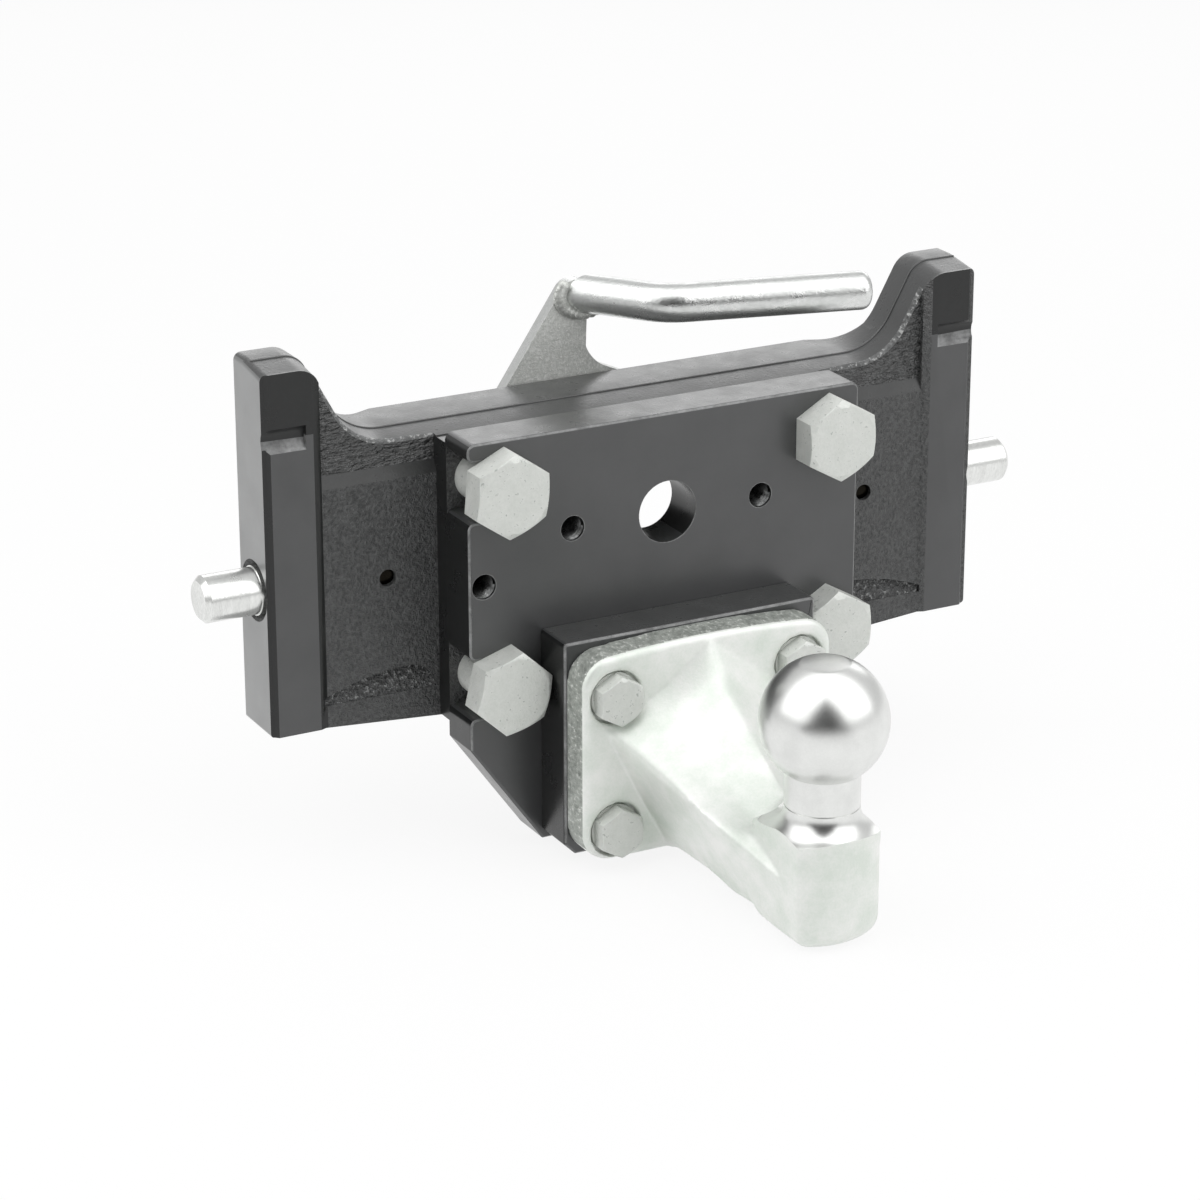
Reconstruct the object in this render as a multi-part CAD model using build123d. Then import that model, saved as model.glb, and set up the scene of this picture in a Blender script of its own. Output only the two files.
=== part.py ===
from build123d import *
from math import atan2, cos, pi, radians, sin, sqrt, tan
import os

os.makedirs("parts", exist_ok=True)

# Height-adjustable ball hitch, in millimetres.
# X runs across the hitch, Y towards the tractor and Z up.
# The origin is the centre of the adapter plate's bore, on the plate's front face.

# Adapter plate
adapter_thickness = 20.0
adapter_half_width = 88.0
adapter_top = 41.0
adapter_side_end = -86.0
adapter_bottom = -130.0
adapter_bottom_half_width = 56.5
adapter_edge_bevel = 0.8
adapter_corner_radius = 3.5
slot_mouth_radius = 3.0
centre_bore_dia = 25.5
tapped_hole_dia = 10.2
tapped_hole_x = 42.5
side_hole_x = -81.5
side_hole_z = -17.8

# Bevel on every hexagon head
hex_rim_share = 0.95
hex_bevel_angle = 30.0

# Carrier bolts, M20, and the slots that let the plate slide off sideways
carrier_bolt_dia = 20.0
carrier_bolt_length = 55.0
carrier_bolt_across_flats = 30.0
carrier_bolt_head = 12.5
carrier_bolt_x = 73.9
carrier_bolt_upper_z = 21.2
carrier_bolt_lower_z = -60.5
carrier_bolt_turns = (25.0, 17.0, 30.0, 30.0)
carrier_hole_dia = 21.0
slot_height = 24.8
thread_clearance = 0.05

# Spacer block between the adapter plate and the ball flange
spacer_thickness = 20.0
spacer_half_width = 57.0
spacer_top = -39.5
spacer_edge_bevel = 1.0
spacer_top_corner = 2.0
spacer_corner_cut = 5.0

# Ball flange, one forging with the tow ball
flange_thickness = 15.0
flange_half_width = 56.2
flange_crown = -40.3
flange_shoulder = -43.5
flange_top_radius = 13.0
flange_bottom_radius = 13.0
flange_bottom = -128.4
flange_front_rounding = 3.0
flange_bolt_dia = 12.0
flange_bolt_length = 50.0
flange_bolt_across_flats = 18.0
flange_bolt_head = 7.5
flange_bolt_turn = 30.0
flange_bolt_x = 41.5
flange_bolt_upper_z = -59.7
flange_bolt_pitch_z = 56.0
flange_hole_clearance = 1.0
washer_dia = 20.5
washer_thickness = 2.5
spotface_dia = 22.5
spotface_depth = 4.5

# Tow ball, neck and head
ball_dia = 50.0
ball_forward = 121.8
ball_z = -45.3
ball_flat_dia = 19.0
neck_dia = 29.0
flare_radius = 10.0
head_top = -89.5
head_bottom = -133.0
head_half_width = 18.3
head_corner_forward = 13.0
head_nose_forward = 19.2
head_toe_radius = 9.0
head_edge_radius = 2.5
head_reach_back = 100.0

# Arm sections, each at a distance forward of the spacer's back:
# the ridge's height, the rib's half-width and height, and the keel's half-width and height
arm_sections = (
    (34.0, -40.5, 46.0, -72.6, 17.5, -128.2),
    (42.3, -54.6, 43.0, -75.8, 16.8, -128.2),
    (60.0, -65.7, 36.0, -83.8, 15.8, -128.4),
    (93.2, -86.5, 28.3, -95.3, 14.6, -129.8),
    (128.8, -93.0, 18.0, -107.7, 13.4, -132.0),
)
arm_hollow = 2.6

# Slide carrier, a casting
rail_half_span = 161.0
rail_width = 21.0
rail_depth = 26.5
rail_top = 74.5
rail_bottom = -76.5
rail_chamfer = 3.0
rail_horn_radius = 10.0
rail_inner_slope = 3.5
horn_foot_x = 121.0
horn_foot_radius = 26.0
rail_groove_radius = 6.2
rail_groove_z = 45.2
rail_groove_depth = 2.4
pad_rise = 9.0
pad_half_width = 87.5
pad_top = 36.5
rail_proud = 1.5
panel_step = 2.2
panel_step_z = 24.5
panel_step_height = 5.0
web_thickness = 12.0
beam_depth = 44.0
beam_ridge_z = 40.0
beam_ridge_back = 16.5
beam_taper_start_x = 100.0
beam_taper_end_x = 123.0
bottom_mid = -81.0
bottom_taper_x = 82.0
rail_corner_radius = 1.5
beam_front_drop = 3.0
horn_front_drop = 2.5
pocket_half_width = 132.0
pocket_radius = 12.0
bolt_boss_dia = 34.0
bolt_boss_past_tip = 3.0
bottom_rib_thickness = 12.0
bottom_rib_depth = 36.0
crescent_depth = 4.5
crescent_inner_x = 89.0
crescent_outer_x = 138.0
crescent_base = -67.5
crescent_crown = -56.8
crescent_crown_x = 101.0
crescent_shoulder_x = 120.0
crescent_shoulder = -58.8
crescent_tip = -64.5

# Window through the carrier behind the centre bore
window_half_width = 46.0
window_top = 8.0
window_bottom = -48.0
window_radius = 10.0

# Locking pins, springs and followers
pin_dia = 20.0
pin_back = 21.0
pin_z = -18.5
pin_protrusion = 23.5
pin_length = 105.0
pin_end_chamfer = 2.0
pin_tip_relief = 0.5
pin_tip_start = 0.5
pin_running_clearance = 0.05
pin_mouth_dia = 25.0
pin_boss_radius = 15.5
pin_stroke = 24.0
spring_wire = 1.8
spring_outer_dia = 13.0
spring_turns = 10
spring_steps_per_turn = 10
spring_end_gap = 0.1
spring_hole_dia = 14.0
spring_hole_depth = 21.5
spring_plug_length = 8.0
spring_plug_socket = 6.0
follower_past_tail = 29.9
follower_stud_dia = 10.0
follower_journal_dia = 8.0
follower_roller_dia = 14.0
follower_roller_bore_clearance = 0.05
follower_thread_depth = 15.0
stud_slot_clearance = 0.4
roller_side_play = 0.5
clip_dia = 15.0
clip_thickness = 1.2
clip_gap = 0.2
stud_end_length = 1.4
access_hole_dia = 7.0

# Cam plate with its handle, turning about the pivot bolt
handle_travel = 25.0
pivot_z = 22.0
cam_plate_thickness = 6.0
cam_plate_gap = 1.5
cam_hub_radius = 21.0
cam_left_hub_radius = 15.0
cam_band_radius = 14.0
cam_slot_clearance = 0.2
cam_slot_overrun = 0.03
tab_top = 80.0
tab_top_left = -10.8
tab_top_right = -1.0
tab_right = -3.0
tab_foot_left = -50.4
tab_top_radius = 5.0
tab_shoulder_radius = 8.0
tab_fillet = 16.8
bush_wall = 2.0
pivot_shoulder_dia = 16.0
pivot_running_clearance = 0.05
pivot_thread_dia = 12.0
pivot_thread_length = 24.0
pivot_shoulder_play = 0.4
pivot_flange_dia = 28.0
pivot_flange_thickness = 2.0
pivot_across_flats = 19.0
pivot_head = 8.0
pivot_head_turn = 30.0
pivot_washer_dia = 30.0

# Handle bar
bar_dia = 16.0
bar_z = 73.5
bar_foot_x = -1.2
bar_bend_x = 19.5
bar_bend_y = 37.4
bar_end_x = 102.0
bar_end_y = 16.5
bar_bend_radius = 22.0
bar_end_rounding = 4.0
weld_leg = 2.5
weld_left_leg = 5.5
weld_below_top = 1.0

# Depths along Y that the pieces share
pad_y = adapter_thickness
panel_y = pad_y + pad_rise
rail_y = panel_y - rail_proud
rail_back_y = rail_y + rail_depth
web_back_y = panel_y + web_thickness
pin_y = pad_y + pin_back
beam_back_y = pad_y + beam_depth
cam_front_y = beam_back_y + cam_plate_gap
cam_back_y = cam_front_y + cam_plate_thickness
spacer_y = -spacer_thickness
flange_y = spacer_y - flange_thickness
washer_y = flange_y + spotface_depth - washer_thickness
rail_inner_x = rail_half_span - rail_width

# Places that follow from the sizes
flange_bolt_places = [
    (x, z)
    for x in (-flange_bolt_x, flange_bolt_x)
    for z in (flange_bolt_upper_z, flange_bolt_upper_z - flange_bolt_pitch_z)
]
carrier_bolt_places = [
    (x, z)
    for x in (-carrier_bolt_x, carrier_bolt_x)
    for z in (carrier_bolt_upper_z, carrier_bolt_lower_z)
]
pin_bore_dia = pin_dia + 2 * pin_running_clearance
bush_dia = pivot_shoulder_dia + 2 * pivot_running_clearance + 2 * bush_wall
pin_tip_x = rail_half_span + pin_protrusion
pin_tail_x = pin_tip_x - pin_length
follower_x = pin_tail_x + follower_past_tail
spring_seat_x = window_half_width + spring_plug_length
roller_width = cam_plate_thickness + 2 * roller_side_play
roller_y = cam_front_y - roller_side_play
clip_y = roller_y + roller_width + clip_gap


def rounded_face(corners):
    """A flat face from its corners, each given as two coordinates and a corner radius."""
    face = make_face(Polyline(*[(u, v) for u, v, radius in corners], close=True))
    for u, v, radius in corners:
        if radius > 0:
            face = fillet(face.vertices().sort_by_distance((u, v))[0], radius)
    return face


def both_sides(right_half):
    """The corners of the right half, followed by their mirror images in reverse order."""
    return right_half + [(-u, v, radius) for u, v, radius in reversed(right_half)]


def slab(face, front_y, back_y):
    """A face drawn in X and Z, made solid between two depths."""
    return extrude(Plane.XZ.offset(-front_y) * face, amount=front_y - back_y)


def rod(x, z, dia, front_y, back_y):
    """A round bar along Y."""
    return slab(Pos(x, z) * Circle(dia / 2), front_y, back_y)


def cross_rod(y, z, dia, low_x, high_x):
    """A round bar along X."""
    return extrude(Plane.YZ.offset(low_x) * Pos(y, z) * Circle(dia / 2), amount=high_x - low_x)


def mirrored(part):
    """The part's mirror image on the other side of the hitch."""
    return mirror(part, Plane.YZ)


def hex_head(across_flats, height, turn):
    """A hexagon head standing on the XY plane, with its corners bevelled by a cone."""
    prism = extrude(Rot(0, 0, turn) * RegularPolygon(across_flats / 2, 6, major_radius=False), height)
    rim = across_flats / 2 * hex_rim_share
    past_corners = across_flats
    cone = make_face(Polyline(
        (0, 0), (past_corners, 0), (past_corners, height - (past_corners - rim) * tan(radians(hex_bevel_angle))),
        (rim, height), (0, height), close=True))
    return prism & revolve(Plane.XZ * cone, Axis.Z)


def hex_bolt(dia, length, across_flats, head, x, z, seat_y, turn):
    """A hexagon bolt whose head sits at seat_y and whose shank runs back along Y."""
    tip = dia * 0.08
    shank = Pos(0, 0, -length / 2) * Cylinder(dia / 2, length)
    shank = chamfer(shank.edges().group_by(Axis.Z)[0], tip)
    bolt = shank + hex_head(across_flats, head, turn)
    return Pos(x, seat_y, z) * Rot(90, 0, 0) * bolt


def adapter_plate():
    """The machined plate that carries the spacer, with two bolt slots open to its left edge."""
    outline = make_face(Polyline(*[(x, z) for x, z, radius in both_sides([
        (adapter_bottom_half_width, adapter_bottom, 0),
        (adapter_half_width, adapter_side_end, 0),
        (adapter_half_width, adapter_top, 0)])], close=True))
    outline = fillet(outline.vertices().group_by(Axis.Y)[-1], adapter_corner_radius)
    for z in (carrier_bolt_upper_z, carrier_bolt_lower_z):
        outline -= Pos(-carrier_bolt_x - slot_height, z) * SlotCenterToCenter(2 * slot_height, slot_height)
        lips = [outline.vertices().sort_by_distance((-adapter_half_width, z + side * slot_height / 2))[0]
                for side in (-1, 1)]
        outline = fillet(lips, slot_mouth_radius)
    plate = slab(outline, 0, adapter_thickness)
    plate = chamfer(plate.edges().group_by(Axis.Y)[0], adapter_edge_bevel)
    plate -= rod(0, 0, centre_bore_dia, -1, adapter_thickness + 1)
    for x, z in ((-tapped_hole_x, 0), (tapped_hole_x, 0), (side_hole_x, side_hole_z)):
        plate -= rod(x, z, tapped_hole_dia, -1, adapter_thickness + 1)
    for x, z in flange_bolt_places:
        plate -= rod(x, z, flange_bolt_dia + 2 * thread_clearance, -1, adapter_thickness + 1)
    for z in (carrier_bolt_upper_z, carrier_bolt_lower_z):
        plate -= rod(carrier_bolt_x, z, carrier_hole_dia, -1, adapter_thickness + 1)
    return plate


def spacer_block():
    """The block that stands the ball flange off from the adapter plate."""
    outline = make_face(Polyline(*[(x, z) for x, z, radius in both_sides([
        (spacer_half_width - spacer_corner_cut, adapter_bottom, 0),
        (spacer_half_width, adapter_bottom + spacer_corner_cut, 0),
        (spacer_half_width, spacer_top, 0)])], close=True))
    outline = fillet(outline.vertices().group_by(Axis.Y)[-1], spacer_top_corner)
    block = slab(outline, spacer_y, 0)
    block = chamfer(block.edges().group_by(Axis.Y)[0], spacer_edge_bevel)
    for x, z in flange_bolt_places:
        block -= rod(x, z, flange_bolt_dia + flange_hole_clearance, spacer_y - 1, 1)
    return block


def arm():
    """The forged arm, a ruled body over pentagon sections with hollowed flanks."""
    sections = []
    for forward, ridge_z, rib_x, rib_z, keel_x, keel_z in arm_sections:
        middle = (rib_x / 2, (ridge_z + rib_z) / 2 - arm_hollow)
        section = make_face(Polyline(*[(x, z) for x, z in (
            (0, ridge_z), middle, (rib_x, rib_z), (keel_x, keel_z),
            (-keel_x, keel_z), (-rib_x, rib_z), (-middle[0], middle[1]))], close=True))
        sections.append(Plane.XZ.offset(forward) * section)
    return loft(sections, ruled=True)


def head_plan():
    """The head seen from above, with its bowed nose."""
    corner_y = -ball_forward - head_corner_forward
    nose = ThreePointArc(
        (-head_half_width, corner_y), (0, -ball_forward - head_nose_forward), (head_half_width, corner_y))
    rear = Polyline(
        (head_half_width, corner_y), (head_half_width, -head_reach_back),
        (-head_half_width, -head_reach_back), (-head_half_width, corner_y))
    plan = make_face(Curve() + [nose, rear])
    return fillet(plan.vertices().group_by(Axis.Y)[0], head_edge_radius)


def ball_head():
    """The squared head that the neck grows from, with a rounded toe."""
    head = extrude(Plane.XY.offset(head_bottom) * head_plan(), head_top - head_bottom)
    sole = head.faces().sort_by(Axis.Z)[0]
    toe = sole.edges().filter_by(GeomType.CIRCLE).sort_by(SortBy.LENGTH)
    return fillet(toe, head_toe_radius)


def ball_and_neck():
    """The turned ball, its flat top and its neck down into the head."""
    flat_half = ball_flat_dia / 2
    ball_radius = ball_dia / 2
    flat_z = sqrt(ball_radius ** 2 - flat_half ** 2)
    neck_half = neck_dia / 2
    neck_z = -sqrt(ball_radius ** 2 - neck_half ** 2)
    profile = make_face(Curve() + [
        Polyline((0, head_top - ball_z), (0, flat_z), (flat_half, flat_z)),
        ThreePointArc((flat_half, flat_z), (ball_radius, 0), (neck_half, neck_z)),
        Polyline((neck_half, neck_z), (neck_half, head_top - ball_z), (0, head_top - ball_z))])
    return Pos(0, -ball_forward, ball_z) * revolve(Plane.XZ * profile, Axis.Z)


def flare():
    """The hollow fillet that a lathe leaves between the neck and the head."""
    neck_half = neck_dia / 2
    profile = make_face(Curve() + [
        Polyline((neck_half - 1, flare_radius), (neck_half, flare_radius)),
        RadiusArc((neck_half, flare_radius), (neck_half + flare_radius, 0), -flare_radius),
        Polyline((neck_half + flare_radius, 0), (neck_half - 1, 0), (neck_half - 1, flare_radius))])
    ring = Pos(0, -ball_forward, head_top) * revolve(Plane.XZ * profile, Axis.Z)
    return ring & extrude(Plane.XY.offset(head_top) * head_plan(), flare_radius)


def ball_flange():
    """One forging: the bolted flange, the arm, the head, the neck and the ball."""
    side_z = flange_shoulder
    crown = ThreePointArc((-flange_half_width, side_z), (0, flange_crown), (flange_half_width, side_z))
    sides = Polyline(
        (flange_half_width, side_z), (flange_half_width, flange_bottom),
        (-flange_half_width, flange_bottom), (-flange_half_width, side_z))
    outline = make_face(Curve() + [crown, sides])
    corners = outline.vertices().group_by(Axis.Y)
    outline = fillet(corners[0], flange_bottom_radius)
    outline = fillet(outline.vertices().group_by(Axis.Y)[-1], flange_top_radius)
    flange = slab(outline, flange_y, spacer_y)
    flange = fillet(flange.edges().group_by(Axis.Y)[0], flange_front_rounding)
    turning = Pos(0, -ball_forward, (ball_z + head_top) / 2) * Cylinder(
        neck_dia / 2 + flare_radius, ball_z - head_top)
    forging = flange + (arm() + ball_head() - turning) + flare() + ball_and_neck()
    for x, z in flange_bolt_places:
        forging -= rod(x, z, flange_bolt_dia + flange_hole_clearance, flange_y - 1, 1)
        forging -= rod(x, z, spotface_dia, flange_y - 2 * spotface_depth, flange_y + spotface_depth)
    return forging


def flange_washers():
    """Four plain washers, sunk into the flange's spotfaces."""
    return [
        rod(x, z, washer_dia, washer_y, washer_y + washer_thickness)
        - rod(x, z, flange_bolt_dia + flange_hole_clearance, washer_y - 1, washer_y + washer_thickness + 1)
        for x, z in flange_bolt_places]


def flange_bolts():
    """Four bolts through the flange and the spacer into the adapter plate."""
    return [
        hex_bolt(flange_bolt_dia, flange_bolt_length, flange_bolt_across_flats, flange_bolt_head,
                 x, z, washer_y, flange_bolt_turn)
        for x, z in flange_bolt_places]


def carrier_bolts():
    """Four bolts that clamp the adapter plate to the carrier's pad."""
    return [
        hex_bolt(carrier_bolt_dia, carrier_bolt_length, carrier_bolt_across_flats, carrier_bolt_head,
                 x, z, 0, turn)
        for (x, z), turn in zip(carrier_bolt_places, carrier_bolt_turns)]


def carrier_outline(drop_beam, drop_horn):
    """The carrier's outline, with the beam and horns lowered by the casting's draft."""
    return rounded_face(both_sides([
        (bottom_taper_x, bottom_mid, 0),
        (rail_inner_x, rail_bottom, 0),
        (rail_half_span, rail_bottom, rail_corner_radius),
        (rail_half_span, rail_top - drop_horn, rail_chamfer),
        (rail_inner_x, rail_top - drop_horn, rail_horn_radius),
        (horn_foot_x, beam_ridge_z - drop_beam, horn_foot_radius)]))


def carrier_blank():
    """The cast body before machining: beam, web, rails, bosses and bottom rib."""
    ridge_y = panel_y + beam_ridge_back
    front = carrier_outline(beam_front_drop, horn_front_drop)
    ridge = carrier_outline(0, 0)
    body = loft([Plane.XZ.offset(-panel_y) * front, Plane.XZ.offset(-ridge_y) * ridge], ruled=True)
    body += slab(ridge, ridge_y, beam_back_y)
    back_corner = make_face(Polyline(
        (beam_taper_start_x, beam_back_y), (beam_taper_end_x, rail_back_y),
        (rail_half_span + 1, rail_back_y), (rail_half_span + 1, beam_back_y + 1),
        (beam_taper_start_x, beam_back_y + 1), close=True))
    corner = extrude(Plane.XY.offset(bottom_mid - 1) * back_corner, rail_top - bottom_mid + 2)
    body -= corner
    body -= mirrored(corner)
    rib_top = bottom_mid + bottom_rib_thickness
    pocket = rounded_face(both_sides([
        (pocket_half_width, rib_top, pocket_radius), (pocket_half_width, window_top, pocket_radius)]))
    body -= slab(pocket, web_back_y, beam_back_y + 1)
    lower_back = Pos(0, (window_top + bottom_mid - 1) / 2) * Rectangle(
        2 * rail_half_span + 2, window_top - bottom_mid + 1)
    body -= slab(lower_back, panel_y + bottom_rib_depth - pad_rise, beam_back_y + 1)
    boss = cross_rod(pin_y, pin_z, 2 * pin_boss_radius, window_half_width, pocket_half_width + 1)
    boss &= slab(Rectangle(2 * rail_half_span, 2 * rail_top), web_back_y - 1, beam_back_y)
    rail = extrude(Plane.XY.offset(rail_bottom) * make_face(Polyline(
        (rail_half_span, web_back_y), (rail_half_span, rail_y + rail_chamfer),
        (rail_half_span - rail_chamfer, rail_y), (rail_inner_x, rail_y),
        (rail_inner_x - rail_inner_slope, panel_y), (rail_inner_x - rail_inner_slope, web_back_y),
        close=True)), rail_top - rail_bottom) & slab(front, rail_y - 1, web_back_y + 1)
    for part in (boss, rail):
        body += part
        body += mirrored(part)
    for x in (-carrier_bolt_x, carrier_bolt_x):
        body += rod(x, carrier_bolt_lower_z, bolt_boss_dia, web_back_y - 1,
                    carrier_bolt_length + bolt_boss_past_tip)
    pad = Pos(0, (pad_top + bottom_mid + 1) / 2) * Rectangle(2 * pad_half_width, pad_top - bottom_mid - 1)
    body += slab(pad, pad_y, panel_y + 1)
    return body


def slide_carrier():
    """The cast slide with its machined rails, bores, threads and window."""
    body = carrier_blank()
    step_z = panel_step_z - panel_step_height / 2
    step = extrude(Plane.YZ.offset(pad_half_width) * make_face(Polyline(
        (panel_y - 1, step_z), (panel_y, step_z), (panel_y + panel_step, step_z + panel_step_height),
        (panel_y + panel_step, rail_top), (panel_y - 1, rail_top), close=True)),
        rail_inner_x - rail_inner_slope - pad_half_width)
    crescent = slab(make_face(Curve() + [
        ThreePointArc((crescent_outer_x, crescent_tip), (crescent_shoulder_x, crescent_shoulder),
                      (crescent_crown_x, crescent_crown)),
        RadiusArc((crescent_crown_x, crescent_crown), (crescent_inner_x, crescent_base),
                  -(crescent_crown_x - crescent_inner_x)),
        Polyline((crescent_inner_x, crescent_base), (crescent_outer_x, crescent_base),
                 (crescent_outer_x, crescent_tip))]),
        panel_y - 1, panel_y + crescent_depth)
    crescent &= extrude(Plane.YZ.offset(crescent_inner_x - 1) * make_face(Polyline(
        (panel_y - 1, crescent_base - 1), (panel_y, crescent_base - 1),
        (panel_y + crescent_depth, crescent_crown + 1), (panel_y - 1, crescent_crown + 1), close=True)),
        crescent_outer_x - crescent_inner_x + 2)
    groove = cross_rod(rail_y - rail_groove_radius + rail_groove_depth, rail_groove_z,
                       2 * rail_groove_radius, rail_inner_x + rail_chamfer, rail_half_span + 1)
    mouth_depth = (pin_mouth_dia - pin_bore_dia) / 2
    mouth = Pos(rail_half_span - mouth_depth / 2, pin_y, pin_z) * Rot(0, 90, 0) * Cone(
        pin_bore_dia / 2, pin_mouth_dia / 2, mouth_depth)
    bore = cross_rod(pin_y, pin_z, pin_bore_dia, window_half_width - 1, rail_half_span + 1)
    slot_width = follower_stud_dia + stud_slot_clearance
    stud_slot = slab(Pos(follower_x - pin_stroke / 2, pin_z) * SlotCenterToCenter(
        pin_stroke + stud_slot_clearance, slot_width), pin_y, beam_back_y)
    access = rod(follower_x, pin_z, access_hole_dia, panel_y - 1, pin_y)
    for cut in (step, crescent, groove, mouth, bore, stud_slot, access):
        body -= cut
        body -= mirrored(cut)
    for x, z in carrier_bolt_places:
        body -= rod(x, z, carrier_bolt_dia + 2 * thread_clearance, pad_y - 1,
                    carrier_bolt_length + bolt_boss_past_tip + 1)
    window = rounded_face(both_sides([
        (window_half_width, window_bottom, window_radius), (window_half_width, window_top, window_radius)]))
    body -= slab(window, pad_y - 1, beam_back_y + 1)
    body -= rod(0, pivot_z, pivot_thread_dia + 2 * thread_clearance,
                beam_back_y - pivot_thread_length - 2, beam_back_y + 1)
    return body


def locking_pin():
    """The right-hand locking pin, hollow at its tail for the spring and drilled for its stud."""
    shoulder_x = rail_half_span + pin_tip_start
    tip = cross_rod(pin_y, pin_z, pin_dia - 2 * pin_tip_relief, shoulder_x, pin_tip_x)
    pin = chamfer(tip.edges().group_by(Axis.X)[-1], pin_end_chamfer)
    pin += cross_rod(pin_y, pin_z, pin_dia, pin_tail_x, shoulder_x)
    pin -= cross_rod(pin_y, pin_z, spring_hole_dia, pin_tail_x - 1, pin_tail_x + spring_hole_depth)
    pin -= rod(follower_x, pin_z, follower_stud_dia + 2 * thread_clearance,
               pin_y + pin_dia / 2 - follower_thread_depth, pin_y + pin_dia)
    return pin


def pin_spring():
    """The compression spring between the plug and the bottom of the pin's hole."""
    length = pin_tail_x + spring_hole_depth - spring_seat_x - spring_wire - 2 * spring_end_gap
    radius = (spring_outer_dia - spring_wire) / 2
    steps = spring_turns * spring_steps_per_turn
    coil = Polyline(*[
        (radius * cos(2 * pi * step / spring_steps_per_turn),
         radius * sin(2 * pi * step / spring_steps_per_turn), length * step / steps)
        for step in range(steps + 1)])
    section = Plane(coil @ 0, z_dir=coil % 0) * RegularPolygon(spring_wire / 2, 6)
    wire = sweep(section, coil, transition=Transition.RIGHT)
    start_x = spring_seat_x + spring_end_gap + spring_wire / 2
    return Pos(start_x, pin_y, pin_z) * Rot(0, 90, 0) * wire


def spring_plug():
    """The threaded plug that closes the bore's inner end and seats the spring."""
    plug = cross_rod(pin_y, pin_z, pin_bore_dia - 2 * thread_clearance, window_half_width, spring_seat_x)
    socket = Plane.YZ.offset(window_half_width) * Pos(pin_y, pin_z) * RegularPolygon(
        spring_plug_socket, 6, major_radius=False)
    return plug - extrude(socket, spring_plug_length / 2)


def follower_stud():
    """The stud that screws into the pin and carries the roller on its journal."""
    base_y = pin_y + pin_dia / 2 - follower_thread_depth
    stud = rod(follower_x, pin_z, follower_stud_dia, base_y, roller_y - roller_side_play / 2)
    stud += rod(follower_x, pin_z, follower_journal_dia, base_y, clip_y + clip_thickness + stud_end_length)
    return stud


def follower_roller():
    """The roller that runs in the cam slot."""
    bore = follower_journal_dia + 2 * follower_roller_bore_clearance
    back_y = roller_y + roller_width
    return (rod(follower_x, pin_z, follower_roller_dia, roller_y, back_y)
            - rod(follower_x, pin_z, bore, roller_y - 1, back_y + 1))


def follower_clip():
    """The retaining ring that keeps the roller on its journal."""
    back_y = clip_y + clip_thickness
    bore = follower_journal_dia + 2 * follower_roller_bore_clearance
    gap = Pos(follower_x, pin_z + clip_dia / 2) * Rectangle(follower_journal_dia / 2, clip_dia)
    return (rod(follower_x, pin_z, clip_dia, clip_y, back_y)
            - rod(follower_x, pin_z, bore, clip_y - 1, back_y + 1)
            - slab(gap, clip_y - 1, back_y + 1))


def follower_on_plate(side, share):
    """Where a follower lies on the resting cam plate after a share of the handle's travel."""
    turn = radians(handle_travel * share)
    x = side * (follower_x - pin_stroke * share)
    z = pin_z - pivot_z
    return (x * cos(turn) + z * sin(turn), pivot_z + z * cos(turn) - x * sin(turn))


def cam_arc(side):
    """The line that a follower draws on the cam plate, as an arc a little longer than its travel."""
    shares = (-cam_slot_overrun, 0.5, 1 + cam_slot_overrun)
    return ThreePointArc(*[follower_on_plate(side, share) for share in shares])


def hull(circles):
    """The stretched outline round circles given as x, z and radius."""
    return make_hull([edge for x, z, radius in circles for edge in (Pos(x, z) * Circle(radius)).edges()])


def cam_plate():
    """The cam plate: hub, tab for the bar, and two wings whose slots move both pins evenly."""
    left_hub = (0, pivot_z, cam_left_hub_radius)
    right_hub = (0, pivot_z, cam_hub_radius)
    left_arc = cam_arc(-1)
    left_wing = [(*tuple(left_arc @ share)[:2], cam_band_radius) for share in (0, 0.5, 1)]
    outline = rounded_face([
        (tab_foot_left, pivot_z, 0), (tab_top_left, tab_top, tab_shoulder_radius),
        (tab_top_right, tab_top, tab_top_radius), (tab_right, pivot_z, 0)])
    fillet_x = tab_right + tab_fillet
    fillet_z = pivot_z + sqrt((cam_hub_radius + tab_fillet) ** 2 - fillet_x ** 2)
    corner = make_face(Polyline(
        (tab_right, pivot_z), (tab_right, fillet_z), (fillet_x, fillet_z), (0, pivot_z), close=True))
    outline += corner - Pos(fillet_x, fillet_z) * Circle(tab_fillet)
    outline += hull([left_hub] + left_wing)
    outline += hull([right_hub, (*follower_on_plate(1, 0), cam_band_radius)])
    outline += SlotArc(cam_arc(1), 2 * cam_band_radius)
    slot_width = follower_roller_dia + 2 * cam_slot_clearance
    for side in (-1, 1):
        outline -= SlotArc(cam_arc(side), slot_width)
    outline -= Pos(0, pivot_z) * Circle(bush_dia / 2)
    return slab(outline, cam_front_y, cam_back_y)


def pivot_bush():
    """The bronze bush pressed into the cam plate."""
    bore = pivot_shoulder_dia + 2 * pivot_running_clearance
    return (rod(0, pivot_z, bush_dia, cam_front_y, cam_back_y)
            - rod(0, pivot_z, bore, cam_front_y - 1, cam_back_y + 1))


def pivot_washer():
    """The washer that holds the cam plate off the beam."""
    bore = pivot_shoulder_dia + 2 * pivot_running_clearance
    return (rod(0, pivot_z, pivot_washer_dia, beam_back_y, cam_front_y)
            - rod(0, pivot_z, bore, beam_back_y - 1, cam_front_y + 1))


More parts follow.
